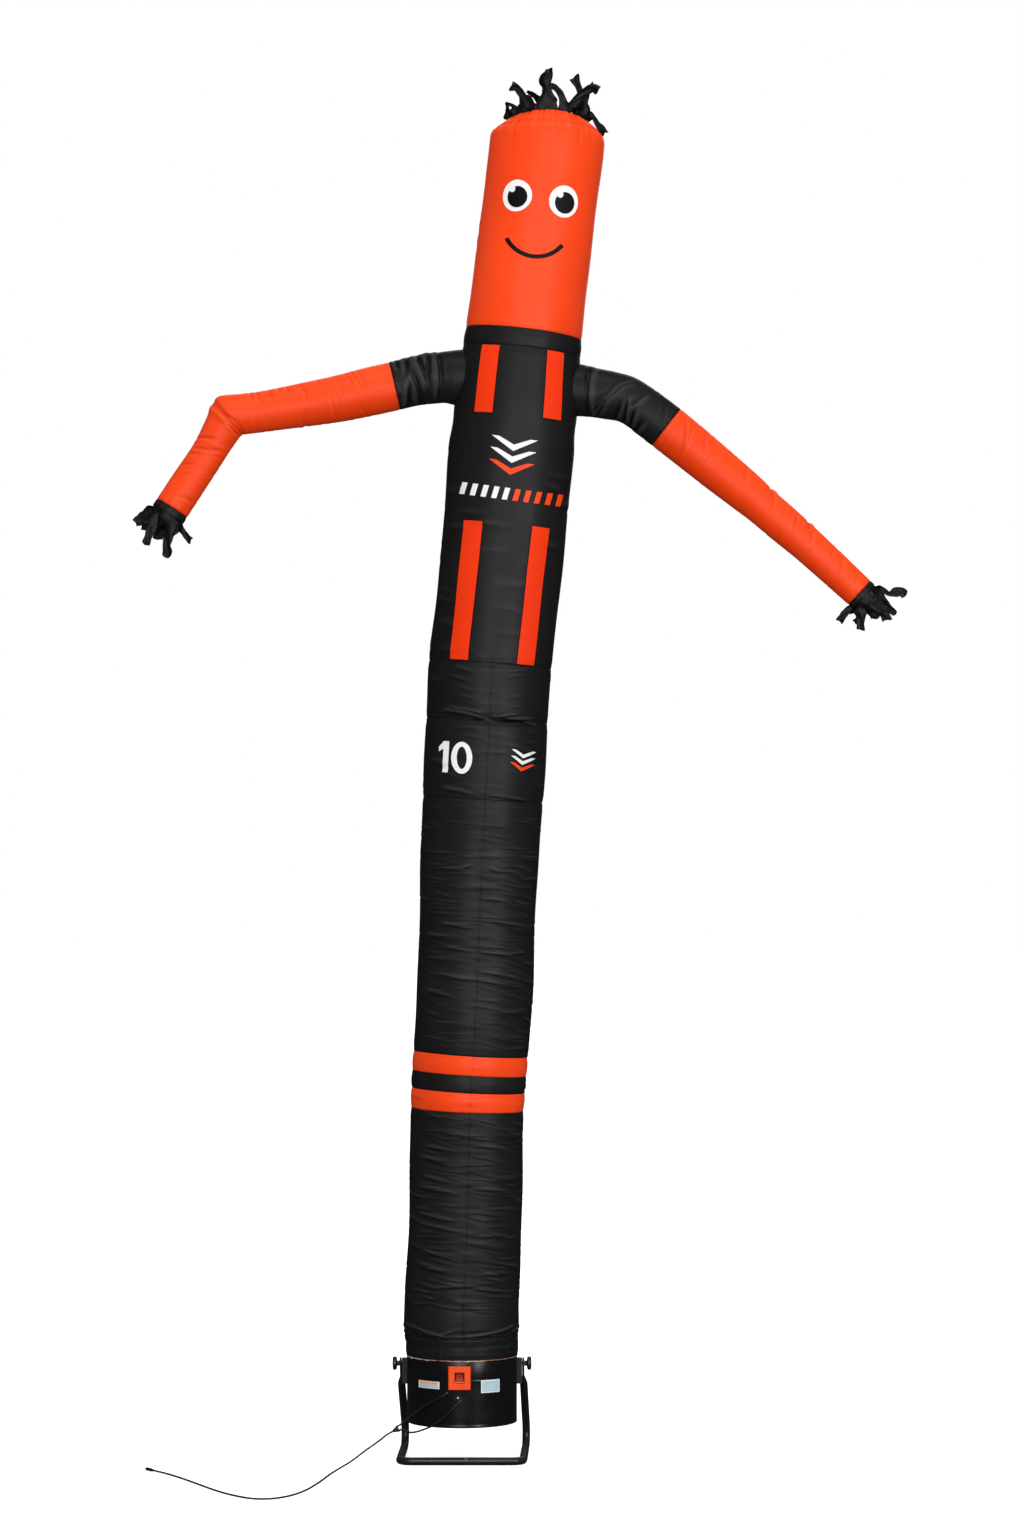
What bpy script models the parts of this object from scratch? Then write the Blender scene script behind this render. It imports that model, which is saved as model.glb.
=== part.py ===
"""Inflatable air dancer, blown up and swaying, tied to its electric blower.

Metres, +Z up, the front faces -Y. Every piece is modelled round the blower's
own upright axis and then moved by (AXIS_X, AXIS_Y), so that the origin of the
part lies on the floor under the middle of the whole dancer.

A place on the cloth is given by a height up the tube and a turn round it:
turn 0 is the front, 90 the side at +X, 180 the back and -90 the side at -X.
"""

import math

import bmesh
import bpy
from mathutils import Matrix, Vector

# ---- Driving sizes -------------------------------------------------------

AXIS_X = -0.1544
AXIS_Y = -0.0243

GAP = 0.0003
CLOTH = 0.0012
PATCH_CLEAR = 0.0005
PATCH = 0.0010
BODY_SIDES = 32
ARM_SIDES = 16

DRUM_RADIUS = 0.1460
DRUM_WALL = 0.0025
DRUM_BOTTOM = 0.101
DRUM_TOP = 0.304
BEAD_HEIGHT = 0.228

PIVOT_HEIGHT = 0.254
LEG_X = 0.1625
STAND_RADIUS = 0.0105
STAND_FRONT = -0.115
STAND_SWAY = 0.055
STAND_CORNER = 0.032
BACK_CORNER = 0.235
BACK_BEND = 0.035
BOLT_RADIUS = 0.0040

COLLAR_BOTTOM = 0.2785
TUBE_BOTTOM = 0.3165
RIM_HEIGHT = 3.5585
RIM_RADIUS = 0.1100

CORD_RADIUS = 0.0025

# ---- The cloth's main measures -------------------------------------------

# A row for each measured level of the upright tube: how far its middle lies to
# the right of and behind the blower's axis, and its radius.
BODY = (
    # height, right,  back,  radius
    (0.250, -0.0015, 0.000, 0.1485),
    (0.312, -0.0015, 0.000, 0.1490),
    (0.345, -0.0018, 0.000, 0.1530),
    (0.421, -0.0010, 0.000, 0.1517),
    (0.554, 0.0050, 0.001, 0.1502),
    (0.686, 0.0098, 0.001, 0.1498),
    (0.819, 0.0122, 0.002, 0.1500),
    (0.951, 0.0164, 0.002, 0.1512),
    (1.057, 0.0224, 0.003, 0.1522),
    (1.216, 0.0319, 0.005, 0.1546),
    (1.375, 0.0380, 0.007, 0.1532),
    (1.614, 0.0480, 0.011, 0.1570),
    (1.746, 0.0555, 0.013, 0.1604),
    (1.958, 0.0665, 0.017, 0.1622),
    (2.117, 0.0756, 0.020, 0.1628),
    (2.276, 0.0931, 0.023, 0.1627),
    (2.435, 0.1096, 0.026, 0.1632),
    (2.647, 0.1297, 0.031, 0.1662),
    (2.780, 0.1430, 0.034, 0.1645),
    (2.952, 0.1590, 0.039, 0.1563),
    (3.071, 0.1732, 0.042, 0.1538),
    (3.177, 0.1869, 0.045, 0.1521),
    (3.283, 0.2000, 0.048, 0.1516),
    (3.389, 0.2134, 0.051, 0.1520),
    (3.495, 0.2262, 0.054, 0.1520),
    (3.600, 0.2315, 0.056, 0.1520),
)

# The panels of the tube. Each runs from its first ring to its last, and
# neighbours share a seam.
PANELS = (
    ("lower_tube", "black", (TUBE_BOTTOM, 0.345, 0.42, 0.54, 0.68, 0.82, 0.928)),
    ("band_lower", "orange", (0.928, 0.978)),
    ("band_gap", "black", (0.978, 1.0234)),
    ("band_upper", "orange", (1.0234, 1.074)),
    ("mid_tube", "black", (1.074, 1.14, 1.24, 1.37, 1.50, 1.63, 1.747)),
    ("belly_panel", "black", (1.747, 1.81, 1.925, 1.956)),
    ("waist_panel", "black", (1.956, 1.990, 2.105)),
    ("chest_panel", "black",
     (2.105, 2.22, 2.36, 2.50, 2.63, 2.73, 2.83, 2.90, 2.937)),
    ("neck_band", "black", (2.937, 2.985)),
    ("head_panel", "orange",
     (2.985, 3.07, 3.18, 3.29, 3.40, 3.505, 3.520, 3.535, 3.549, RIM_HEIGHT)),
)

# Radius of the crown, where the head panel closes in on its opening.
CROWN = (
    # height, radius
    (3.495, 0.1520),
    (3.505, 0.1515),
    (3.520, 0.1470),
    (3.535, 0.1355),
    (3.549, 0.1220),
    (RIM_HEIGHT, RIM_RADIUS),
)

# The main folds of the tube: a furrow pressed into the cloth round part of its
# girth. Spread is its half length in degrees and reach its half height.
FOLDS = (
    # height, turn, spread, reach, depth
    (1.956, 8.0, 62.0, 0.020, 0.0050),
    (1.956, 180.0, 50.0, 0.020, 0.0040),
    (1.925, 30.0, 30.0, 0.026, 0.0025),
    (1.990, -30.0, 26.0, 0.026, 0.0025),
    (1.810, -60.0, 34.0, 0.050, 0.0022),
    (1.630, 24.0, 40.0, 0.060, 0.0025),
    (1.500, -34.0, 46.0, 0.060, 0.0025),
    (1.240, 150.0, 60.0, 0.060, 0.0030),
    (0.820, -30.0, 44.0, 0.060, 0.0022),
    (0.680, 36.0, 50.0, 0.060, 0.0030),
    (0.540, -150.0, 60.0, 0.060, 0.0030),
    (0.420, -24.0, 34.0, 0.050, 0.0025),
    (0.345, -52.0, 22.0, 0.014, 0.0030),
    (0.345, 20.0, 34.0, 0.014, 0.0030),
    (2.900, 96.0, 30.0, 0.030, 0.0030),
    (2.730, 92.0, 30.0, 0.050, 0.0030),
    (2.730, -94.0, 30.0, 0.050, 0.0030),
    (3.535, -11.25, 6.0, 0.020, 0.0030),
    (3.535, 11.25, 6.0, 0.020, 0.0030),
    (3.535, 33.75, 6.0, 0.020, 0.0030),
    (3.535, -56.25, 6.0, 0.020, 0.0030),
    (3.535, 67.5, 6.0, 0.020, 0.0025),
    (3.535, 146.25, 6.0, 0.020, 0.0030),
    (3.535, -146.25, 6.0, 0.020, 0.0030),
    (3.535, 180.0, 6.0, 0.020, 0.0030),
)
SEAM_PINCH = 0.0016
SEAM_REACH = 0.022

# Sections of the arms, from the body outwards: middle of the section and its
# radius. A row stands at each end of a piece and at each fold.
SIDE_LEFT = (
    # right,  back,   up,    radius
    (0.0400, 0.033, 2.8730, 0.0730),
    (-0.0200, 0.033, 2.8680, 0.0725),
    (-0.0450, 0.033, 2.8690, 0.0685),
    (-0.0850, 0.032, 2.8660, 0.0680),
    (-0.1320, 0.031, 2.8575, 0.0655),
    (-0.1800, 0.030, 2.8455, 0.0648),
    (-0.2400, 0.028, 2.8318, 0.0645),
    (-0.3260, 0.026, 2.8120, 0.0618),
    (-0.4130, 0.024, 2.7963, 0.0585),
    (-0.4820, 0.022, 2.7845, 0.0556),
    (-0.5490, 0.021, 2.7740, 0.0538),
    (-0.5900, 0.020, 2.7695, 0.0542),
    (-0.6170, 0.019, 2.7650, 0.0540),
    (-0.6350, 0.018, 2.7330, 0.0508),
    (-0.6580, 0.016, 2.6930, 0.0468),
    (-0.6780, 0.014, 2.6590, 0.0455),
    (-0.7280, 0.010, 2.5835, 0.0466),
    (-0.7690, 0.006, 2.5200, 0.0470),
    (-0.7790, 0.005, 2.5040, 0.0478),
)
SIDE_RIGHT = (
    (0.2500, 0.036, 2.8410, 0.0700),
    (0.3150, 0.036, 2.8340, 0.0690),
    (0.3500, 0.036, 2.8285, 0.0655),
    (0.3950, 0.036, 2.8205, 0.0642),
    (0.4350, 0.036, 2.8110, 0.0618),
    (0.4680, 0.036, 2.7925, 0.0605),
    (0.5050, 0.036, 2.7650, 0.0615),
    (0.5427, 0.036, 2.7360, 0.0615),
    (0.6100, 0.036, 2.6820, 0.0605),
    (0.6840, 0.036, 2.6213, 0.0580),
    (0.7540, 0.036, 2.5643, 0.0545),
    (0.8000, 0.035, 2.5250, 0.0508),
    (0.8560, 0.035, 2.4770, 0.0500),
    (0.9165, 0.034, 2.4245, 0.0472),
    (0.9850, 0.033, 2.3620, 0.0452),
    (1.0550, 0.032, 2.2970, 0.0430),
    (1.0660, 0.032, 2.2870, 0.0432),
)
# Which sections each piece runs between.
SIDE_PIECES = (
    # name, finish, first and last on the left, first and last on the right
    ("sleeve", "black", 0, 5, 0, 7),
    ("arm", "orange", 5, 17, 7, 15),
    ("cuff", "black", 17, 18, 15, 16),
)

# Strips of the hair and the hands. Each grows from one length of its backing
# ring, narrows to a ribbon, leans from its root lean to its tip lean towards
# its heading, and twists on its way. The turn and the heading are turns round
# the ring, and the tip is its width there as a share of the root's.
STRIP_WALL = 0.0016
STRIP_STEPS = 5
RING_PROUD = 0.0015
RIBBON = (
    # share of the way, share of the root's width
    (0.00, 1.00),
    (0.20, 0.90),
    (0.40, 0.66),
    (0.60, 0.54),
    (0.80, 0.54),
    (1.00, 0.54),
)
HAIR = (
    # turn, length, root, tip, heading, twist, tip width
    (-90.0, 0.044, -26.0, -6.0, -90.0, 14.0, 0.45),
    (-67.5, 0.050, -26.0, -30.0, -90.0, -16.0, 0.40),
    (-45.0, 0.098, -30.0, 80.0, -90.0, 20.0, 0.62),
    (-22.5, 0.050, 12.0, 46.0, -90.0, 40.0, 0.36),
    (0.0, 0.114, 30.0, -16.0, -90.0, 30.0, 0.98),
    (22.5, 0.090, 4.0, 52.0, -90.0, -24.0, 0.50),
    (45.0, 0.046, -10.0, 20.0, -90.0, -20.0, 0.45),
    (67.5, 0.102, -2.0, 34.0, -90.0, -30.0, 0.76),
    (90.0, 0.086, 62.0, 196.0, 90.0, -55.0, 0.42),
    (135.0, 0.060, -20.0, -50.0, 90.0, 30.0, 0.45),
    (157.5, 0.122, 28.0, 60.0, 90.0, 30.0, 0.80),
    (180.0, 0.076, 10.0, 60.0, -90.0, 50.0, 0.40),
    (-135.0, 0.086, -10.0, 96.0, -90.0, 20.0, 0.40),
    (-112.5, 0.044, -20.0, -10.0, -90.0, 20.0, 0.45),
)
HAND_LEFT = (
    (90.0, 0.080, 30.0, -4.0, 90.0, 30.0, 0.72),
    (45.0, 0.104, 2.0, 26.0, -90.0, 24.0, 0.66),
    (0.0, 0.116, 20.0, 44.0, -90.0, -18.0, 0.64),
    (-45.0, 0.050, 0.0, 24.0, -90.0, 20.0, 0.50),
    (-90.0, 0.044, 0.0, 30.0, -90.0, -20.0, 0.50),
    (-135.0, 0.082, 24.0, 94.0, -90.0, -12.0, 0.60),
    (180.0, 0.072, 0.0, 20.0, 90.0, -20.0, 0.52),
    (135.0, 0.062, 8.0, 30.0, 90.0, 20.0, 0.60),
)
HAND_RIGHT = (
    (-90.0, 0.098, -4.0, 64.0, -90.0, -50.0, 0.72),
    (-45.0, 0.096, 0.0, 10.0, 90.0, 20.0, 0.60),
    (0.0, 0.094, 2.0, 12.0, 90.0, -16.0, 0.84),
    (45.0, 0.080, 30.0, 56.0, 90.0, -34.0, 0.66),
    (90.0, 0.062, 66.0, 104.0, 90.0, -50.0, 0.56),
    (135.0, 0.046, 4.0, 24.0, 90.0, -20.0, 0.50),
    (180.0, 0.070, 0.0, 24.0, 90.0, 20.0, 0.52),
    (-135.0, 0.066, 0.0, 24.0, -90.0, -20.0, 0.56),
)

# Pieces sewn on the front of the chest: turns and heights of their edges.
STRIPES = (
    # name, left turn, right turn, bottom, top
    ("stripe_upper_left", -41.5, -21.5, 2.756, 2.934),
    ("stripe_upper_right", 26.0, 46.5, 2.756, 2.934),
    ("stripe_lower_left", -41.0, -21.0, 2.108, 2.471),
    ("stripe_lower_right", 26.0, 45.5, 2.108, 2.471),
)
EYE_TURN = 24.6
EYE_HEIGHT = 3.327
EYE_RADIUS = 0.0418
PUPIL_RADIUS = 0.0280
MOUTH_HEIGHT = 3.173
MOUTH_RADIUS = 0.0873
MOUTH_HALF_ANGLE = 58.0
MOUTH_WIDTH = 0.010

# ---- The leads' routes, round the blower's axis ---------------------------

LEAD_ROUTE = (
    (-0.0440, -0.1515, 0.1900),
    (-0.0480, -0.1525, 0.1875),
    (-0.0560, -0.1490, 0.1825),
    (-0.0690, -0.1400, 0.1750),
    (-0.0830, -0.1295, 0.1665),
    (-0.1050, -0.1125, 0.1500),
    (-0.1250, -0.1000, 0.1345),
    (-0.1440, -0.0925, 0.1185),
    (-0.1552, -0.0905, 0.1086),
    (-0.1631, -0.0905, 0.1023),
)
BRANCH_ROUTE = (
    (-0.0095, -0.1555, 0.1675),
    (-0.0135, -0.1590, 0.1640),
    (-0.0210, -0.1600, 0.1575),
    (-0.0310, -0.1570, 0.1460),
    (-0.0430, -0.1510, 0.1338),
    (-0.0610, -0.1430, 0.1180),
    (-0.0790, -0.1350, 0.1054),
    (-0.0989, -0.1250, 0.0958),
    (-0.1180, -0.1130, 0.0880),
    (-0.1340, -0.1020, 0.0845),
    (-0.1430, -0.0960, 0.0868),
    (-0.1510, -0.0922, 0.0905),
    (-0.1575, -0.0908, 0.0915),
)
MAINS_ROUTE = (
    (-0.1865, -0.0912, 0.0832),
    (-0.1980, -0.0960, 0.0768),
    (-0.2143, -0.1130, 0.0660),
    (-0.2515, -0.1420, 0.0430),
    (-0.2870, -0.1720, 0.0200),
    (-0.3160, -0.2060, 0.0065),
    (-0.3320, -0.2500, 0.0026),
    (-0.3430, -0.3100, 0.0026),
    (-0.3560, -0.3900, 0.0026),
    (-0.3730, -0.4800, 0.0026),
    (-0.3930, -0.5640, 0.0026),
    (-0.4220, -0.6400, 0.0026),
    (-0.4580, -0.6880, 0.0026),
    (-0.4900, -0.7020, 0.0026),
    (-0.5250, -0.6920, 0.0026),
    (-0.5760, -0.6340, 0.0026),
    (-0.6150, -0.5700, 0.0026),
    (-0.6500, -0.5000, 0.0026),
    (-0.6850, -0.4260, 0.0026),
    (-0.7200, -0.3550, 0.0026),
    (-0.7600, -0.2860, 0.0032),
    (-0.8000, -0.2360, 0.0047),
)
MAINS_POINTS = 54
JOINT_STEP = 0.0060
END_LENGTH = 0.034
END_RADIUS = 0.0044


# ---- Scene and materials --------------------------------------------------

def clear_scene():
    for old in list(bpy.data.objects):
        bpy.data.objects.remove(old, do_unlink=True)


FINISHES = {
    # name: colour, roughness, metallic
    "black": ((0.018, 0.018, 0.020), 0.55, 0.0),
    "orange": ((0.85, 0.075, 0.012), 0.50, 0.0),
    "white": ((0.85, 0.85, 0.84), 0.55, 0.0),
    "trim": ((0.80, 0.42, 0.24), 0.60, 0.0),
    "casing": ((0.014, 0.014, 0.015), 0.42, 0.0),
    "steel": ((0.012, 0.013, 0.014), 0.32, 0.6),
    "plate": ((0.60, 0.72, 0.80), 0.45, 0.0),
    "rubber": ((0.010, 0.010, 0.010), 0.60, 0.0),
    "bare_metal": ((0.55, 0.55, 0.55), 0.30, 1.0),
}


def material_for(name, finish):
    colour, roughness, metallic = FINISHES[finish]
    material = bpy.data.materials.new(name + "_finish")
    material.use_nodes = True
    shader = material.node_tree.nodes["Principled BSDF"]
    shader.inputs["Base Color"].default_value = (*colour, 1.0)
    shader.inputs["Roughness"].default_value = roughness
    shader.inputs["Metallic"].default_value = metallic
    return material


def add_object(name, points, faces, finish, smooth=35.0):
    """One closed mesh with outward faces, shaded smooth below the given angle."""
    mesh = bpy.data.meshes.new(name)
    mesh.from_pydata([tuple(p) for p in points], [], faces)
    tidy = bmesh.new()
    tidy.from_mesh(mesh)
    bmesh.ops.recalc_face_normals(tidy, faces=tidy.faces)
    tidy.to_mesh(mesh)
    tidy.free()
    mesh.shade_smooth()
    mesh.set_sharp_from_angle(angle=math.radians(smooth))
    obj = bpy.data.objects.new(name, mesh)
    bpy.context.collection.objects.link(obj)
    obj.data.materials.append(material_for(name, finish))
    return obj


def as_guide(obj):
    obj.hide_render = True
    obj.display_type = "WIRE"
    return obj


def boolean(obj, operation, guide):
    step = obj.modifiers.new(operation.lower() + "_" + guide.name, "BOOLEAN")
    step.operation = operation
    step.object = guide
    return obj


# ---- Geometry helpers -----------------------------------------------------

def smooth_row(rows, at):
    """The row at this first value, on a smooth curve through the rows."""
    spot = 0
    while spot < len(rows) - 2 and at > rows[spot + 1][0]:
        spot += 1
    low, high = rows[spot], rows[spot + 1]
    before = rows[max(spot - 1, 0)]
    after = rows[min(spot + 2, len(rows) - 1)]
    step = high[0] - low[0]
    t = (at - low[0]) / step
    found = []
    for column in range(1, len(low)):
        rise_in = slope(before, high, column) * step
        rise_out = slope(low, after, column) * step
        found.append(hermite(low[column], high[column], rise_in, rise_out, t))
    return found


def slope(first, last, column):
    return (last[column] - first[column]) / (last[0] - first[0])


def hermite(start, end, rise_in, rise_out, t):
    return (
        start * (2 * t**3 - 3 * t**2 + 1)
        + rise_in * (t**3 - 2 * t**2 + t)
        + end * (3 * t**2 - 2 * t**3)
        + rise_out * (t**3 - t**2)
    )


def ramp(value, low, high):
    t = min(max((value - low) / (high - low), 0.0), 1.0)
    return t * t * (3 - 2 * t)


def turn_between(a, b):
    """Signed degrees from b to a, within half a turn."""
    return (a - b + 180.0) % 360.0 - 180.0


def bump(distance, reach):
    share = min(abs(distance) / reach, 1.0)
    return (1 - share * share) ** 2


def frame_along(direction):
    """Axes of a section across this direction: towards the front, and across."""
    along = direction.normalized()
    front = Vector((0.0, -1.0, 0.0))
    front = (front - along * front.dot(along)).normalized()
    return along, front, along.cross(front)


# ---- The upright tube -----------------------------------------------------

def body_middle(height):
    right, back, _ = smooth_row(BODY, height)
    return Vector((right, back, height))


def body_frame(height):
    """The tube's own axes: upright at the blower, leaning with it above."""
    step = 0.01
    travel = body_middle(height + step) - body_middle(height - step)
    lean = ramp(height, TUBE_BOTTOM, 0.42)
    return frame_along(Vector((travel.x * lean, travel.y * lean, travel.z)))


def body_radius(height):
    if height > CROWN[0][0]:
        return smooth_row(CROWN, height)[0]
    return smooth_row(BODY, height)[2]


def slack(height, turn):
    """The gentle unevenness of blown-up cloth, none of it at the blower."""
    angle = math.radians(turn)
    wave = 0.0009 * math.sin(3 * angle + 7.0 * height)
    wave += 0.0007 * math.sin(5 * angle - 11.0 * height + 1.0)
    wave += 0.0009 * math.sin(2 * angle + 23.0 * height)
    return wave * ramp(height, TUBE_BOTTOM, 0.45)


def pressed_in(height, turn):
    """How far folds and seams draw the cloth in at this place."""
    depth = 0.0
    for at, middle, spread, reach, fold in FOLDS:
        across = bump(turn_between(turn, middle), spread)
        depth += fold * across * bump(height - at, reach)
    for _, _, heights in PANELS[1:]:
        depth += SEAM_PINCH * bump(height - heights[0], SEAM_REACH)
    return depth


def crown_lift(height, turn):
    """The crown stands higher at its front and back than at its sides."""
    arch = 0.010 * math.cos(2 * math.radians(turn))
    return arch * ramp(height, 3.49, RIM_HEIGHT)


def body_point(height, turn, off=0.0, rise=0.0):
    """A point of the cloth, off outwards from it and rise along the tube."""
    along, front, across = body_frame(height)
    angle = math.radians(turn)
    outward = front * math.cos(angle) + across * math.sin(angle)
    reach = body_radius(height) + slack(height, turn) - pressed_in(height, turn)
    lift = rise + crown_lift(height, turn)
    return body_middle(height) + outward * (reach + off) + along * lift


def wall_slope(height):
    """Outward normal of the tube's profile, as parts out and along."""
    if height < CROWN[0][0]:
        return 1.0, 0.0
    step = 0.002
    top = min(height + step, RIM_HEIGHT)
    run = body_radius(top) - body_radius(top - 2 * step)
    size = math.hypot(2 * step, run)
    return 2 * step / size, -run / size


def turns(sides):
    return [360.0 * i / sides for i in range(sides)]


def tube_faces(rings, sides, close=True):
    """Faces of a double-walled tube: outer rings first, then inner rings."""
    faces = []
    inner = rings * sides
    for r in range(rings - 1):
        for i in range(sides):
            n = (i + 1) % sides
            a, b = r * sides + i, r * sides + n
            c, d = a + sides, b + sides
            faces.append((a, b, d))
            faces.append((a, d, c))
            faces.append((inner + b, inner + a, inner + d))
            faces.append((inner + a, inner + c, inner + d))
    for i in range(sides):
        n = (i + 1) % sides
        last = (rings - 1) * sides
        faces.append((inner + i, inner + n, n, i))
        faces.append((last + i, last + n, inner + last + n, inner + last + i))
    return faces


def solid_faces(rings, sides):
    """Faces of a solid rod through the rings, with flat ends."""
    faces = []
    for r in range(rings - 1):
        for i in range(sides):
            n = (i + 1) % sides
            a, b = r * sides + i, r * sides + n
            faces.append((a, b, b + sides))
            faces.append((a, b + sides, a + sides))
    last = (rings - 1) * sides
    faces.append(tuple(reversed(range(sides))))
    faces.append(tuple(range(last, last + sides)))
    return faces


def add_panel(name, finish, heights):
    outer = []
    inner = []
    for spot, height in enumerate(heights):
        rise = 0.0
        if spot == 0:
            rise = GAP / 2
        if spot == len(heights) - 1 and height < RIM_HEIGHT:
            rise = -GAP / 2
        out, along = wall_slope(height)
        for turn in turns(BODY_SIDES):
            outer.append(body_point(height, turn, 0.0, rise))
            inner.append(body_point(height, turn, -CLOTH * out, rise - CLOTH * along))
    faces = tube_faces(len(heights), BODY_SIDES)
    return add_object(name, outer + inner, faces, finish)


def add_body_guide(name, heights, off):
    """A solid copy of the tube between these rings, grown by off."""
    points = []
    for height in heights:
        points += [body_point(height, turn, off) for turn in turns(BODY_SIDES)]
    faces = solid_faces(len(heights), BODY_SIDES)
    return as_guide(add_object(name, points, faces, "black"))


# ---- Arms -----------------------------------------------------------------

def section_directions(rows):
    """At each row the direction of travel, halfway between its two legs."""
    middles = [Vector(row[:3]) for row in rows]
    legs = [(b - a).normalized() for a, b in zip(middles, middles[1:])]
    found = []
    for spot in range(len(rows)):
        before = legs[max(spot - 1, 0)]
        after = legs[min(spot, len(legs) - 1)]
        found.append((before + after).normalized())
    return middles, legs, found


def sleeve_ring(middle, leg, across_plane, radius, sides):
    """A section of the given radius, slid along its leg onto the mitre plane."""
    along, front, side = frame_along(leg)
    ring = []
    for turn in turns(sides):
        angle = math.radians(turn)
        arm = (front * math.cos(angle) + side * math.sin(angle)) * radius
        slide = -arm.dot(across_plane) / along.dot(across_plane)
        ring.append(middle + arm + along * slide)
    return ring


def arm_rings(rows, first, last, off, trim=0.0):
    """Sections of a side from its first to its last row, grown by off."""
    middles, legs, planes = section_directions(rows)
    rings = []
    for spot in range(first, last + 1):
        leg = legs[min(spot, len(legs) - 1)]
        middle = middles[spot]
        if spot == first:
            middle = middle + leg * trim
        if spot == last:
            middle = middle - leg * trim
        radius = rows[spot][3] + off
        rings.append(sleeve_ring(middle, leg, planes[spot], radius, ARM_SIDES))
    return rings


def flat(rings):
    return [point for ring in rings for point in ring]


def add_arm(name, finish, rows, first, last):
    outer = arm_rings(rows, first, last, 0.0, GAP / 2)
    inner = arm_rings(rows, first, last, -CLOTH, GAP / 2)
    faces = tube_faces(len(outer), ARM_SIDES)
    return add_object(name, flat(outer) + flat(inner), faces, finish)


def add_arm_guide(name, rows, first, last, off):
    rings = arm_rings(rows, first, last, off)
    faces = solid_faces(len(rings), ARM_SIDES)
    return as_guide(add_object(name, flat(rings), faces, "black"))


# ---- Hair and hands -------------------------------------------------------

def add_tuft(name, frame, radius, depth, segments, strips, lift=None):
    """A narrow backing ring with flat strips that grow from its far edge."""
    middle, along, front, across = frame

    def ring_point(turn, reach, rise):
        angle = math.radians(turn)
        outward = front * math.cos(angle) + across * math.sin(angle)
        more = lift(turn) if lift else 0.0
        return middle + outward * reach + along * (rise + more)

    half = 180.0 / segments
    corners = [360.0 * i / segments - half for i in range(segments)]
    points = []
    for rise in (-depth, 0.0):
        points += [ring_point(turn, radius, rise) for turn in corners]
        points += [ring_point(turn, radius - STRIP_WALL, rise) for turn in corners]
    faces = []
    rooted = {round(strip[0] * segments / 360.0) % segments: strip for strip in strips}
    for i in range(segments):
        n = (i + 1) % segments
        low_out, low_in = i, segments + i
        low_out_n, low_in_n = n, segments + n
        top_out, top_in = 2 * segments + i, 3 * segments + i
        top_out_n, top_in_n = 2 * segments + n, 3 * segments + n
        faces.append((low_out, low_out_n, top_out_n, top_out))
        faces.append((low_in_n, low_in, top_in, top_in_n))
        faces.append((low_in, low_in_n, low_out_n, low_out))
        root = (top_out, top_out_n, top_in_n, top_in)
        if i in rooted:
            grow_strip(points, faces, root, frame, rooted[i])
        else:
            faces.append(root)
    return add_object(name, points, faces, "black")


def grow_strip(points, faces, root, frame, strip):
    """Carry the root's four corners along a curved and twisting strip."""
    _, along, front, across = frame
    _, length, root_lean, tip_lean, heading, twist, tip = strip
    angle = math.radians(heading)
    towards = front * math.cos(angle) + across * math.sin(angle)
    corners = [points[c] for c in root]
    middle = sum(corners, Vector()) / 4
    wide = corners[1] - corners[0]
    width = wide.length
    wide.normalize()
    before = list(root)
    for step in range(1, STRIP_STEPS + 1):
        share = step / STRIP_STEPS
        along_way = (step - 0.5) / STRIP_STEPS
        lean = math.radians(root_lean + (tip_lean - root_lean) * along_way)
        travel = along * math.cos(lean) + towards * math.sin(lean)
        middle = middle + travel * (length / STRIP_STEPS)
        wide = (wide - travel * wide.dot(travel)).normalized()
        wide = Matrix.Rotation(math.radians(twist / STRIP_STEPS), 3, travel) @ wide
        thick = wide.cross(travel).normalized()
        ribbon = smooth_row(RIBBON, share)[0]
        ribbon += (tip - RIBBON[-1][1]) * ramp(share, 0.5, 0.85)
        half_wide = wide * (width * ribbon / 2)
        half_thick = thick * (STRIP_WALL / 2)
        first = len(points)
        points.append(middle - half_wide + half_thick)
        points.append(middle + half_wide + half_thick)
        points.append(middle + half_wide - half_thick)
        points.append(middle - half_wide - half_thick)
        here = [first, first + 1, first + 2, first + 3]
        for side in range(4):
            n = (side + 1) % 4
            faces.append((before[side], before[n], here[n], here[side]))
        before = here
    faces.append(tuple(before))


# ---- Pieces sewn on the cloth ---------------------------------------------

def facet_point(panel_heights, height, turn, off):
    """A point off the tube's flat facets, not off the round they stand for."""
    levels = [h for h in panel_heights if h <= height]
    low = levels[-1]
    above = [h for h in panel_heights if h > height]
    high = above[0] if above else low
    column = 360.0 / BODY_SIDES
    left = math.floor(turn / column) * column
    share = (turn - left) / column
    rise = (height - low) / (high - low) if high > low else 0.0
    near = body_point(low, left, off)
    far = body_point(high, left + column, off)
    if share >= rise:
        turn_corner = body_point(low, left + column, off)
        return near + (turn_corner - near) * share + (far - turn_corner) * rise
    turn_corner = body_point(high, left, off)
    return near + (turn_corner - near) * rise + (far - turn_corner) * share


def lines_between(low, high, marks):
    inside = [mark for mark in marks if low + 1e-6 < mark < high - 1e-6]
    return [low] + inside + [high]


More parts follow.
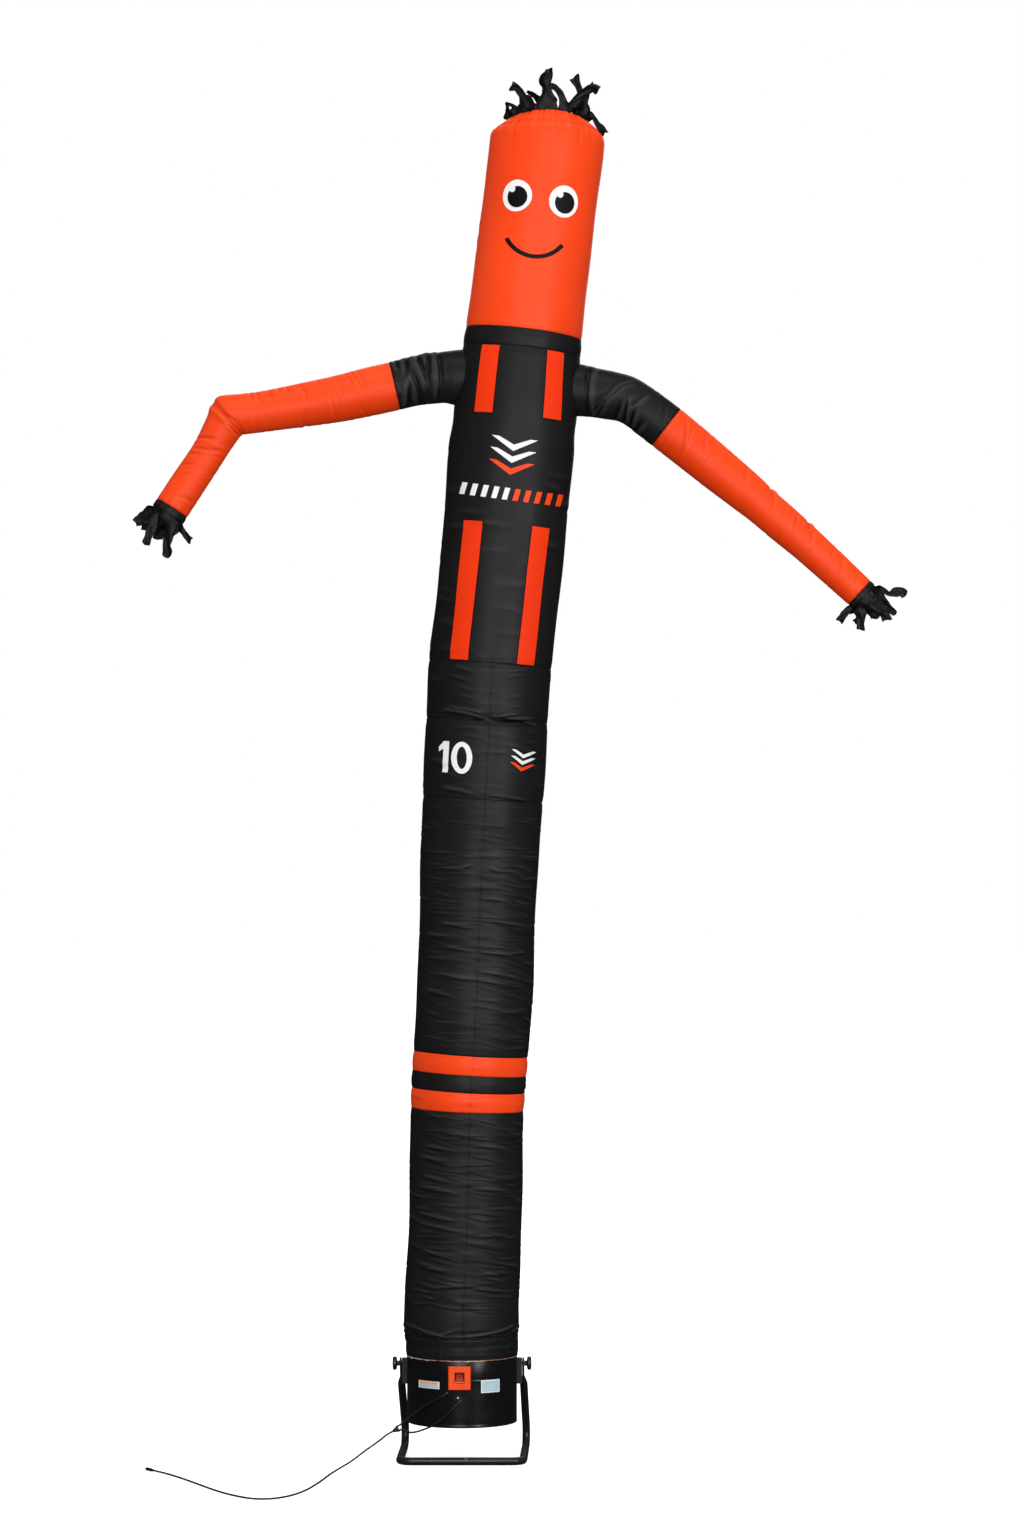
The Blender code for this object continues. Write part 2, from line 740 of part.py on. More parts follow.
def add_patch(name, finish, panel, box, clear=PATCH_CLEAR, thick=PATCH):
    """Cloth laid on a panel's facets between two turns and two heights."""
    heights = dict((row[0], row[2]) for row in PANELS)[panel]
    left, right, bottom, top = box
    column = 360.0 / BODY_SIDES
    marks = [column * i for i in range(-BODY_SIDES // 2, BODY_SIDES // 2 + 1)]
    across = lines_between(left, right, marks)
    up = lines_between(bottom, top, heights)
    points = []
    for off in (clear + thick, clear):
        for height in up:
            points += [facet_point(heights, height, turn, off) for turn in across]
    wide = len(across)
    tall = len(up)
    back = wide * tall
    faces = []
    for r in range(tall - 1):
        for c in range(wide - 1):
            a = r * wide + c
            faces.append((a, a + 1, a + wide + 1, a + wide))
            faces.append((back + a, back + a + wide, back + a + wide + 1, back + a + 1))
    for c in range(wide - 1):
        last = (tall - 1) * wide
        faces.append((c, back + c, back + c + 1, c + 1))
        faces.append((last + c, last + c + 1, back + last + c + 1, back + last + c))
    for r in range(tall - 1):
        a = r * wide
        b = a + wide - 1
        faces.append((a, a + wide, back + a + wide, back + a))
        faces.append((b, back + b, back + b + wide, b + wide))
    return add_object(name, points, faces, finish)


def add_disc_guide(name, height, turn, radius, sides=28):
    """A short rod that stands square to the cloth, to cut a round piece."""
    middle = body_point(height, turn)
    _, front, across = body_frame(height)
    angle = math.radians(turn)
    outward = front * math.cos(angle) + across * math.sin(angle)
    along, up, side = frame_along_up(outward)
    points = []
    for off in (-0.04, 0.04):
        for spin in turns(sides):
            a = math.radians(spin)
            points.append(middle + along * off + (up * math.cos(a) + side * math.sin(a)) * radius)
    return as_guide(add_object(name, points, solid_faces(2, sides), "black"))


def frame_along_up(direction):
    along = direction.normalized()
    up = Vector((0.0, 0.0, 1.0))
    up = (up - along * up.dot(along)).normalized()
    return along, up, along.cross(up)


def add_mouth_guide(name):
    """A bent bar from front to back whose outline is the smile."""
    middle = body_point(MOUTH_HEIGHT, 0.0)
    _, front, across = body_frame(MOUTH_HEIGHT)
    up = front.cross(across)
    centre = middle + up * MOUTH_RADIUS
    steps = 18
    points = []
    for i in range(steps + 1):
        angle = math.radians(MOUTH_HALF_ANGLE * (2.0 * i / steps - 1.0))
        spoke = across * math.sin(angle) - up * math.cos(angle)
        for reach in (MOUTH_RADIUS - MOUTH_WIDTH / 2, MOUTH_RADIUS + MOUTH_WIDTH / 2):
            points.append(centre + spoke * reach + front * 0.03)
            points.append(centre + spoke * reach - front * 0.09)
    faces = []
    for i in range(steps):
        a = 4 * i
        for near, far in ((0, 1), (1, 3), (3, 2), (2, 0)):
            faces.append((a + near, a + far, a + 4 + far, a + 4 + near))
    last = 4 * steps
    faces.append((0, 2, 3, 1))
    faces.append((last, last + 1, last + 3, last + 2))
    return as_guide(add_object(name, points, faces, "black"))


def add_face():
    for side, sign in (("left", -1), ("right", 1)):
        turn = sign * EYE_TURN + 0.6
        reach = 19.0
        box = (turn - reach, turn + reach, EYE_HEIGHT - 0.05, EYE_HEIGHT + 0.05)
        white = add_patch("eye_white_" + side, "white", "head_panel", box)
        ring = add_disc_guide("eye_cut_" + side, EYE_HEIGHT, turn, EYE_RADIUS)
        boolean(white, "INTERSECT", ring)
        over = 2 * PATCH_CLEAR + PATCH
        pupil = add_patch("pupil_" + side, "black", "head_panel", box, over)
        ring = add_disc_guide(
            "pupil_cut_" + side, EYE_HEIGHT - 0.003, turn + 0.8, PUPIL_RADIUS)
        boolean(pupil, "INTERSECT", ring)
    box = (-40.0, 40.0, MOUTH_HEIGHT - 0.02, MOUTH_HEIGHT + 0.08)
    mouth = add_patch("mouth", "black", "head_panel", box)
    boolean(mouth, "INTERSECT", add_mouth_guide("mouth_cut"))


def add_cloth():
    for name, finish, heights in PANELS:
        add_panel(name, finish, heights)
    chest = bpy.data.objects["chest_panel"]
    near_arms = (2.50, 2.63, 2.73, 2.83, 2.90, 2.937, 2.985, 3.07, 3.18)
    for side, rows, column in (("left", SIDE_LEFT, 2), ("right", SIDE_RIGHT, 4)):
        for piece in SIDE_PIECES:
            first, last = piece[column], piece[column + 1]
            name = piece[0] + "_" + side
            made = add_arm(name, piece[1], rows, first, last)
            if piece[0] == "sleeve":
                armhole = add_arm_guide("armhole_" + side, rows, first, last, -CLOTH)
                boolean(chest, "DIFFERENCE", armhole)
                body = add_body_guide("body_for_" + side, near_arms, GAP)
                boolean(made, "DIFFERENCE", body)
    for name, left, right, bottom, top in STRIPES:
        add_patch(name, "orange", "chest_panel", (left, right, bottom, top))


def cuff_frame(rows):
    start, end = Vector(rows[-2][:3]), Vector(rows[-1][:3])
    along, front, across = frame_along(end - start)
    return end + along * RING_PROUD, along, front, across


def add_tufts():
    along, front, across = body_frame(RIM_HEIGHT)
    middle = body_middle(RIM_HEIGHT) + along * RING_PROUD
    hair_radius = RIM_RADIUS * math.cos(math.pi / BODY_SIDES) - CLOTH - 0.0012
    add_tuft("hair", (middle, along, front, across), hair_radius, 0.012, 16, HAIR,
             lambda turn: crown_lift(RIM_HEIGHT, turn))
    inset = math.cos(math.pi / ARM_SIDES)
    for side, rows, strips in (("left", SIDE_LEFT, HAND_LEFT),
                               ("right", SIDE_RIGHT, HAND_RIGHT)):
        radius = (rows[-1][3] - CLOTH) * inset - GAP
        add_tuft("fringe_" + side, cuff_frame(rows), radius, 0.010, 8, strips)


# ---- Collar ---------------------------------------------------------------

def ring_points(radius, height, sides=BODY_SIDES, middle_x=0.0):
    found = []
    for turn in turns(sides):
        angle = math.radians(turn)
        x = middle_x + radius * math.sin(angle)
        found.append(Vector((x, -radius * math.cos(angle), height)))
    return found


def add_band(name, finish, rows):
    """An upright band of cloth: rows of height, inner radius and outer radius."""
    outer = []
    inner = []
    for height, near, far in rows:
        outer += ring_points(far, height)
        inner += ring_points(near, height)
    faces = tube_faces(len(rows), BODY_SIDES)
    return add_object(name, outer + inner, faces, finish)


COLLAR_SNUG = DRUM_RADIUS + GAP
COLLAR_TOP = TUBE_BOTTOM - GAP / 2


# The end of the tie strap: heights and how far out its back lies.
TAB = (
    (0.2790, 0.1492),
    (0.3165, 0.1502),
    (0.3385, 0.1542),
)


def add_collar():
    snug = COLLAR_SNUG
    add_band("base_collar", "black", (
        (COLLAR_BOTTOM, snug, snug + CLOTH),
        (0.294, snug + 0.0016, snug + 0.0016 + CLOTH),
        (COLLAR_TOP, snug + 0.0018, snug + 0.0018 + CLOTH),
    ))
    add_band("collar_trim", "trim", (
        (COLLAR_BOTTOM - 0.0045, snug, snug + 0.0018),
        (COLLAR_BOTTOM - GAP, snug, snug + 0.0018),
    ))


# ---- Blower ---------------------------------------------------------------

def turned(name, finish, profile, sides, place=None, smooth=35.0):
    """A solid of revolution round Z from (radius, height) rows, axis to axis."""
    points = []
    faces = []
    rings = []
    for radius, height in profile:
        if radius == 0.0:
            rings.append([len(points)])
            points.append(Vector((0.0, 0.0, height)))
        else:
            rings.append(list(range(len(points), len(points) + sides)))
            points += ring_points(radius, height, sides)
    closed = profile[0][0] != 0.0
    pairs = list(zip(rings, rings[1:]))
    if closed:
        pairs.append((rings[-1], rings[0]))
    for low, high in pairs:
        if len(low) == len(high) == 1:
            continue
        for i in range(sides):
            n = (i + 1) % sides
            if len(low) == 1:
                faces.append((low[0], high[n], high[i]))
            elif len(high) == 1:
                faces.append((low[i], low[n], high[0]))
            else:
                faces.append((low[i], low[n], high[n], high[i]))
    obj = add_object(name, points, faces, finish, smooth)
    if place is not None:
        obj.matrix_world = place
    return obj


def box_object(name, finish, low, high):
    xs, ys, zs = zip(low, high)
    points = [(x, y, z) for z in zs for y in ys for x in xs]
    faces = [(0, 2, 3, 1), (4, 5, 7, 6), (0, 1, 5, 4),
             (2, 6, 7, 3), (0, 4, 6, 2), (1, 3, 7, 5)]
    return add_object(name, points, faces, finish)


def prism(name, finish, outline, low, high):
    """An outline of (x, y) corners carried up from one height to another."""
    points = [(x, y, low) for x, y in outline] + [(x, y, high) for x, y in outline]
    return add_object(name, points, solid_faces(2, len(outline)), finish)


def drum_face(turn, off):
    """(x, y) of a point off the drum's flat facets at this turn."""
    column = 360.0 / BODY_SIDES
    left = math.floor(turn / column) * column
    share = (turn - left) / column
    reach = DRUM_RADIUS + off
    corner = []
    for edge in (left, left + column):
        angle = math.radians(edge)
        corner.append(Vector((reach * math.sin(angle), -reach * math.cos(angle))))
    spot = corner[0].lerp(corner[1], share)
    return spot.x, spot.y


def drum_outline(low, high, off):
    """(x, depth) of the drum's front facets, grown by off, from x low to high."""
    column = 2 * math.pi / BODY_SIDES
    corners = []
    for i in range(-BODY_SIDES // 4, BODY_SIDES // 4 + 1):
        reach = DRUM_RADIUS + off / math.cos(column / 2)
        corners.append((reach * math.sin(i * column), reach * math.cos(i * column)))
    marks = [low] + [x for x, _ in corners if low < x < high] + [high]
    found = []
    for mark in marks:
        spot = 0
        while spot < len(corners) - 2 and corners[spot + 1][0] < mark:
            spot += 1
        near, far = corners[spot], corners[spot + 1]
        share = (mark - near[0]) / (far[0] - near[0])
        found.append((mark, near[1] + (far[1] - near[1]) * share))
    return found


def add_drum():
    wall = DRUM_WALL
    r = DRUM_RADIUS
    turned("drum", "casing", (
        (r - wall, DRUM_BOTTOM),
        (r, DRUM_BOTTOM),
        (r, BEAD_HEIGHT - 0.003),
        (r - 0.0007, BEAD_HEIGHT),
        (r, BEAD_HEIGHT + 0.003),
        (r, DRUM_TOP),
        (r - wall, DRUM_TOP),
    ), BODY_SIDES)


GUARD_TOP = DRUM_BOTTOM + 0.0050
GUARD_RADIUS = DRUM_RADIUS - DRUM_WALL - GAP


def sector(inner, outer, first, last, steps):
    outline = []
    for reach, order in ((inner, 1), (outer, -1)):
        span = range(steps + 1) if order == 1 else range(steps, -1, -1)
        for i in span:
            angle = math.radians(first + (last - first) * i / steps)
            outline.append((reach * math.sin(angle), -reach * math.cos(angle)))
    return outline


def add_guard():
    """A flat intake guard: a disc with two rings of slots round a solid hub."""
    guard = turned("guard", "steel", (
        (0.0, DRUM_BOTTOM + 0.001), (GUARD_RADIUS, DRUM_BOTTOM + 0.001),
        (GUARD_RADIUS, GUARD_TOP), (0.0, GUARD_TOP),
    ), BODY_SIDES)
    slots = 6
    rib = 0.0040
    for ring, (inner, outer) in enumerate(((0.052, 0.092), (0.098, 0.136))):
        for i in range(slots):
            first = 360.0 * i / slots + math.degrees(rib / inner)
            last = 360.0 * (i + 1) / slots - math.degrees(rib / inner)
            outline = sector(inner, outer, first, last, 3)
            name = "slot_%d_%d" % (ring, i)
            slot = prism(name, "steel", outline, DRUM_BOTTOM - 0.01, GUARD_TOP + 0.01)
            boolean(guard, "DIFFERENCE", as_guide(slot))


MOTOR_TOP = 0.176
FAN_BOTTOM = 0.186
FAN_TOP = 0.222
SHAFT_RADIUS = 0.0050


def add_motor_and_fan():
    turned("motor", "casing", (
        (0.0, GUARD_TOP + GAP), (0.043, GUARD_TOP + GAP), (0.045, GUARD_TOP + 0.004),
        (0.045, MOTOR_TOP - 0.006), (0.039, MOTOR_TOP), (0.012, MOTOR_TOP),
        (0.012, FAN_BOTTOM - GAP), (SHAFT_RADIUS, FAN_BOTTOM - GAP),
        (SHAFT_RADIUS, FAN_TOP - 0.010), (0.0, FAN_TOP - 0.010),
    ), 18)
    bore = SHAFT_RADIUS + GAP
    fan = turned("fan", "casing", (
        (bore, FAN_BOTTOM), (0.026, FAN_BOTTOM), (0.026, FAN_TOP - 0.004),
        (0.022, FAN_TOP), (0.0, FAN_TOP), (0.0, FAN_TOP - 0.008),
        (bore, FAN_TOP - 0.008),
    ), 20)
    blades = 5
    for i in range(blades):
        boolean(fan, "UNION", as_guide(add_blade("blade_%d" % i, 360.0 * i / blades)))


def add_blade(name, turn):
    """A pitched blade, wider and flatter at its tip than at its root."""
    rows = (
        # reach, half width, pitch
        (0.020, 0.014, 46.0),
        (0.060, 0.024, 36.0),
        (0.100, 0.031, 28.0),
        (0.128, 0.034, 24.0),
    )
    middle = (FAN_BOTTOM + FAN_TOP) / 2 - 0.001
    half = 0.0013
    points = []
    for reach, width, pitch in rows:
        tilt = math.radians(pitch)
        wide = Vector((0.0, math.cos(tilt), math.sin(tilt)))
        thick = Vector((0.0, -math.sin(tilt), math.cos(tilt)))
        centre = Vector((reach, 0.0, middle))
        width = min(width, 0.0145 / math.sin(tilt))
        for a, b in ((-1, -1), (1, -1), (1, 1), (-1, 1)):
            points.append(centre + wide * (a * width) + thick * (b * half))
    spin = Matrix.Rotation(math.radians(turn), 3, "Z")
    points = [spin @ p for p in points]
    return add_object(name, points, solid_faces(len(rows), 4), "casing")


PLATE_HALF = 0.0293
PLATE_TURN = -2.0
PLATE_LOW = 0.203
PLATE_HIGH = 0.264
PLATE_FRONT = -0.1560
RECESS_HALF = 0.0130
RECESS_LOW = 0.2200
RECESS_HIGH = 0.2490
ROCKER_HALF_HEIGHT = 0.0120
ROCKER_AXIS_Y = -0.1525
PLATE_X = DRUM_RADIUS * math.sin(math.radians(PLATE_TURN))


def add_switch():
    """A square bezel on the drum's front, with a rocker in its recess."""
    found = drum_outline(PLATE_X - PLATE_HALF, PLATE_X + PLATE_HALF, GAP)
    back = [(x, -depth) for x, depth in reversed(found)]
    chamfer = 0.002
    left, right = PLATE_X - PLATE_HALF, PLATE_X + PLATE_HALF
    front = [(left, PLATE_FRONT + chamfer), (left + chamfer, PLATE_FRONT),
             (right - chamfer, PLATE_FRONT), (right, PLATE_FRONT + chamfer)]
    plate = prism("switch_plate", "orange", front + back, PLATE_LOW, PLATE_HIGH)
    pocket = box_object(
        "recess", "orange",
        (PLATE_X - RECESS_HALF, PLATE_FRONT - 0.01, RECESS_LOW),
        (PLATE_X + RECESS_HALF, PLATE_FRONT + 0.0080, RECESS_HIGH))
    boolean(plate, "DIFFERENCE", as_guide(pocket))
    add_rocker()


def add_rocker():
    """The rocker's two faces meet in a shallow vee, the upper one pressed in."""
    middle = (RECESS_LOW + RECESS_HIGH) / 2
    half = RECESS_HALF - GAP
    tall = ROCKER_HALF_HEIGHT
    side = (
        # y, z
        (ROCKER_AXIS_Y + 0.0012, middle - tall),
        (ROCKER_AXIS_Y - 0.0042, middle - tall),
        (ROCKER_AXIS_Y - 0.0020, middle),
        (ROCKER_AXIS_Y - 0.0020, middle + tall),
        (ROCKER_AXIS_Y + 0.0012, middle + tall),
        (ROCKER_AXIS_Y + 0.0022, middle),
    )
    points = []
    for x in (PLATE_X - half, PLATE_X + half):
        points += [(x, y, z) for y, z in side]
    add_object("rocker", points, solid_faces(2, len(side)), "orange")


def add_plate(name, first, last, low, high):
    """A thin blank plate that follows the drum between two turns."""
    column = 360.0 / BODY_SIDES
    marks = [column * i for i in range(-BODY_SIDES // 2, BODY_SIDES // 2)]
    lines = lines_between(first, last, marks)
    near = [drum_face(turn, GAP) for turn in lines]
    far = [drum_face(turn, GAP + 0.0010) for turn in lines]
    return prism(name, "plate", near + list(reversed(far)), low, high)


def sideways(sign, x, y, z):
    """Stand a turned piece on the drum's side, its +Z pointing outwards."""
    return Matrix.Translation((x, y, z)) @ Matrix.Rotation(sign * math.pi / 2, 4, "Y")


EYE_PLATE = 0.0030
BRACKET_HALF = 0.0125


def add_brackets_and_knobs():
    for side, sign in (("left", -1), ("right", 1)):
        face = LEG_X - EYE_PLATE - GAP
        found = drum_outline(-BRACKET_HALF, BRACKET_HALF, GAP)
        inner = [(sign * depth, y) for y, depth in found]
        outline = [(sign * face, -BRACKET_HALF), (sign * face, BRACKET_HALF)]
        outline += list(reversed(inner))
        bracket = prism("bracket_" + side, "steel", outline, 0.201, 0.268)
        hole = turned("bolt_hole_" + side, "steel", (
            (0.0, -0.0062), (BOLT_RADIUS + GAP, -0.0062),
            (BOLT_RADIUS + GAP, 0.02), (0.0, 0.02),
        ), 16, sideways(sign, sign * face, 0.0, PIVOT_HEIGHT))
        boolean(bracket, "DIFFERENCE", as_guide(hole))
        outside = LEG_X + EYE_PLATE + GAP
        turned("knob_" + side, "rubber", (
            (0.0, face - 0.0059 - outside), (BOLT_RADIUS, face - 0.0059 - outside),
            (BOLT_RADIUS, 0.0), (0.0075, 0.0), (0.0065, 0.0055), (0.0150, 0.0068),
            (0.0180, 0.0095), (0.0180, 0.0155), (0.0150, 0.0180), (0.0, 0.0186),
        ), 16, sideways(sign, sign * outside, 0.0, PIVOT_HEIGHT))


def arc_points(before, corner, after, radius, steps):
    """Points of a bend of this radius in the corner between two others."""
    to_before = (before - corner).normalized()
    to_after = (after - corner).normalized()
    half = to_before.angle(to_after) / 2
    run = radius / math.tan(half)
    centre = corner + (to_before + to_after).normalized() * (radius / math.sin(half))
    start = corner + to_before * run
    normal = to_before.cross(to_after)
    sweep = math.pi - 2 * half
    found = []
    for i in range(steps + 1):
        spin = Matrix.Rotation(-sweep * i / steps, 3, normal)
        found.append(centre + spin @ (start - centre))
    return found


def stand_side(sign):
    """Middle line of one leg, from its eye down and forward to the corner."""
    floor = STAND_RADIUS * math.cos(math.pi / STAND_SIDES)
    x = sign * LEG_X
    pivot = Vector((x, 0.0, PIVOT_HEIGHT))
    back = Vector((x, BACK_CORNER, floor))
    corner = Vector((x, STAND_FRONT, floor))
    middle = Vector((0.0, STAND_FRONT, floor))
    leg = (back - pivot).normalized()
    line = []
    for at, thick, wide in STAND_EYE:
        line.append((pivot + leg * at, thick, wide))
    round_size = STAND_RADIUS
    for point in arc_points(pivot, back, corner, BACK_BEND, 6):
        line.append((point, round_size, round_size))
    for point in arc_points(back, corner, middle, STAND_CORNER, 5):
        line.append((point, round_size, round_size))
    return [(swayed(point), thick, wide) for point, thick, wide in line]


def swayed(point):
    """The legs lean a little to the right behind the pivots."""
    return point + Vector((STAND_SWAY * max(point.y - 0.035, 0.0), 0.0, 0.0))


STAND_SIDES = 10
# The flattened eye: distance down the leg from the pivot, half thickness
# across the leg and half width along it.
STAND_EYE = (
    (-0.0150, EYE_PLATE, 0.0090),
    (-0.0090, EYE_PLATE, 0.0135),
    (0.0580, EYE_PLATE, 0.0140),
    (0.0760, 0.0088, 0.0120),
    (0.0880, STAND_RADIUS, STAND_RADIUS),
)


def add_stand():
    """One tube: eyes at the pivots, legs, floor rails and the front bar."""
    line = stand_side(-1) + list(reversed(stand_side(1)))
    middles = [row[0] for row in line]
    points = []
    for spot, (middle, thick, wide) in enumerate(line):
        before = middles[max(spot - 1, 0)]
        after = middles[min(spot + 1, len(line) - 1)]
        travel_in = (middle - before).normalized() if spot else None
        travel_out = (after - middle).normalized() if spot < len(line) - 1 else None
        travel = travel_in or travel_out
        plane = ((travel_in or travel) + (travel_out or travel)).normalized()
        side, up = tube_axes(travel, middle.x)
        for i in range(STAND_SIDES):
            angle = 2 * math.pi * i / STAND_SIDES
            arm = side * (math.cos(angle) * thick) + up * (math.sin(angle) * wide)
            slide = -arm.dot(plane) / travel.dot(plane)
            points.append(middle + arm + travel * slide)
    stand = add_object("stand", points, solid_faces(len(line), STAND_SIDES), "steel")
    for side, sign in (("left", -1), ("right", 1)):
        hole = turned("eye_hole_" + side, "steel", (
            (0.0, -0.01), (BOLT_RADIUS + GAP, -0.01),
            (BOLT_RADIUS + GAP, 0.01), (0.0, 0.01),
        ), 16, sideways(sign, sign * LEG_X, 0.0, PIVOT_HEIGHT))
        boolean(stand, "DIFFERENCE", as_guide(hole))


def tube_axes(travel, x):
    """Across and up axes that turn steadily along legs, rails and front bar."""
    if abs(travel.x) > 0.1:
        up = Vector((0.0, 0.0, -1.0))
        return travel.cross(up).normalized(), up
    side = Vector((-math.copysign(1.0, x), 0.0, 0.0))
    side = (side - travel * side.dot(travel)).normalized()
    return side, side.cross(travel).normalized()


# ---- Leads ----------------------------------------------------------------

def smooth_route(route, count):
    """Points spaced evenly in length along a smooth curve through a route."""
    stops = [Vector(p) for p in route]
    lengths = [0.0]
    for a, b in zip(stops, stops[1:]):
        lengths.append(lengths[-1] + (b - a).length)
    rows = [(s, p.x, p.y, p.z) for s, p in zip(lengths, stops)]
    found = []
    for i in range(count):
        x, y, z = smooth_row(rows, lengths[-1] * i / (count - 1))
        found.append(Vector((x, y, z)))
    return found


def add_cord(name, route, count, before=(), after=()):
    line = bpy.data.curves.new(name, "CURVE")
    line.dimensions = "3D"
    line.bevel_depth = CORD_RADIUS
    line.bevel_resolution = 2
    line.use_fill_caps = True
    line.resolution_u = 1
    line.render_resolution_u = 0
    spline = line.splines.new("POLY")
    points = [*before, *smooth_route(route, count), *after]
    spline.points.add(len(points) - 1)
    for spot, point in zip(spline.points, points):
        spot.co = (*point, 1.0)
    obj = bpy.data.objects.new(name, line)
    bpy.context.collection.objects.link(obj)
    obj.data.materials.append(material_for(name, "rubber"))
    return obj


def rod_between(name, finish, rows, start, end, sides=12):
    """A turned piece whose axis runs from start to end: rows of share, radius."""
    start, end = Vector(start), Vector(end)
    along = (end - start).normalized()
    length = (end - start).length
    lie = along.to_track_quat("Z", "Y").to_matrix().to_4x4()
    profile = [(0.0, rows[0][0] * length)]
    profile += [(radius, share * length) for share, radius in rows]
    profile.append((0.0, rows[-1][0] * length))
    return turned(name, finish, profile, sides, Matrix.Translation(start) @ lie)


def step_along(route, from_start, gap):
    """The point this far beyond an end of a route, in line with it."""
    a, b = (route[0], route[1]) if from_start else (route[-1], route[-2])
    a, b = Vector(a), Vector(b)
    return a + (a - b).normalized() * gap


def add_gland(name, route, length, wall):
    """A tapered strain relief that carries the lead out of the drum's front."""
    end = step_along(route, True, 0.0010)
    start = step_along(route, True, length)
    gland = rod_between(name, "rubber", (
        (0.0, 0.0050), (0.55, 0.0048), (1.0, 0.0033),
    ), start, end)
    boolean(gland, "DIFFERENCE", wall)


def add_leads():
    reach = DRUM_RADIUS + GAP / math.cos(math.pi / BODY_SIDES)
    wall = as_guide(prism(
        "wall_guide", "casing",
        [(p.x, p.y) for p in ring_points(reach, 0.0)], 0.12, 0.29))
    add_gland("gland_lead", LEAD_ROUTE, 0.0110, wall)
    add_gland("gland_branch", BRANCH_ROUTE, 0.0170, wall)
    lead, branch, mains, along = joint_ends()
    add_cord("cord_lead", LEAD_ROUTE, 12, after=(lead,))
    add_cord("cord_branch", BRANCH_ROUTE, 15, after=(branch,))
    add_cord("cord_mains", MAINS_ROUTE, MAINS_POINTS, before=(mains,))
    add_cord_joint(lead, branch, mains, along)
    start = step_along(MAINS_ROUTE, False, GAP)
    end = step_along(MAINS_ROUTE, False, GAP + END_LENGTH)
    rod_between("cord_end", "rubber", (
        (0.0, 0.0030), (0.25, END_RADIUS - 0.0006), (0.35, END_RADIUS),
        (0.94, END_RADIUS), (1.0, END_RADIUS - 0.0008),
    ), start, end)


def joint_ends():
    """Ends of the three leads, each cut square to the way through the joint."""
    lead = Vector(LEAD_ROUTE[-1])
    branch = Vector(BRANCH_ROUTE[-1])
    mains = Vector(MAINS_ROUTE[0])
    middle = (lead + branch) / 2
    along = (mains - middle).normalized()
    middle += along * JOINT_STEP
    lead += along * (middle - lead).dot(along)
    branch += along * (middle - branch).dot(along)
    return lead, branch, mains - along * JOINT_STEP, along


def add_cord_joint(lead, branch, mains, along):
    """The moulded wedge in which the two leads become one."""
    wide_middle = (lead + branch) / 2 + along * GAP
    narrow_end = mains - along * GAP
    up = (lead - branch).normalized()
    side = along.cross(up)
    spread = (lead - branch).length / 2 + 0.0038
    rows = (
        # share of the way, half height, half width
        (0.0, spread, 0.0042),
        (0.35, spread * 0.78, 0.0045),
        (0.75, 0.0052, 0.0042),
        (1.0, 0.0034, 0.0032),
    )
    sides = 10
    points = []
    for share, tall, wide in rows:
        middle = wide_middle.lerp(narrow_end, share)
        for i in range(sides):
            angle = 2 * math.pi * i / sides
            points.append(middle + up * (math.cos(angle) * tall) + side * (math.sin(angle) * wide))
    add_object("cord_joint", points, solid_faces(len(rows), sides), "rubber")


# ---- Small parts ----------------------------------------------------------

def add_small_parts():
    add_plate("plate_left", -50.0, -23.3, 0.2028, 0.2217)
    add_plate("plate_right", 20.5, 42.7, 0.1927, 0.2262)
    x, y = drum_face(-3.6, GAP)
    turned("screw", "bare_metal", (
        (0.0, 0.0), (0.0030, 0.0), (0.0030, 0.0010), (0.0018, 0.0018), (0.0, 0.0020),
    ), 12, Matrix.Translation((x, y, 0.1813)) @ Matrix.Rotation(math.pi / 2, 4, "X"))
    points = []
    for off in (0.0, 0.0014):
        for height, reach in TAB:
            for turn in (-24.3, -20.9):
                angle = math.radians(turn)
                r = reach + off
                points.append((r * math.sin(angle), -r * math.cos(angle), height))
    faces = [(0, 1, 3, 2), (2, 3, 5, 4), (6, 8, 9, 7), (8, 10, 11, 9),
             (0, 6, 7, 1), (4, 5, 11, 10), (0, 2, 8, 6), (2, 4, 10, 8),
             (1, 7, 9, 3), (3, 9, 11, 5)]
    add_object("collar_tab", points, faces, "black")


def place_on_floor():
    """Move everything from the blower's axis to the part's own origin."""
    stand_point = bpy.data.objects.new("stand_point", None)
    bpy.context.collection.objects.link(stand_point)
    for obj in list(bpy.context.collection.objects):
        if obj is not stand_point:
            obj.parent = stand_point
    stand_point.location = (AXIS_X, AXIS_Y, 0.0)


def main():
    clear_scene()
    add_cloth()
    add_face()
    add_tufts()
    add_collar()
    add_drum()
    add_guard()
    add_motor_and_fan()
    add_switch()
    add_brackets_and_knobs()
    add_stand()
    add_small_parts()
    add_leads()
    place_on_floor()


main()
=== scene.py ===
"""Looks of the inflatable air dancer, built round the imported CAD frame.

Everything is modelled round the blower's own upright axis, in metres, +Z up,
front at -Y, and moved onto the frame's origin when it becomes an object. A
place on the cloth is given by a height up the tube and a turn round it, in
degrees: turn 0 is the front and 90 the side at +X. The route points and the
shape tables are the CAD source's own.
"""

import math

import bmesh
import bpy
import numpy as np
from mathutils import Matrix, Vector
from mathutils.geometry import delaunay_2d_cdt


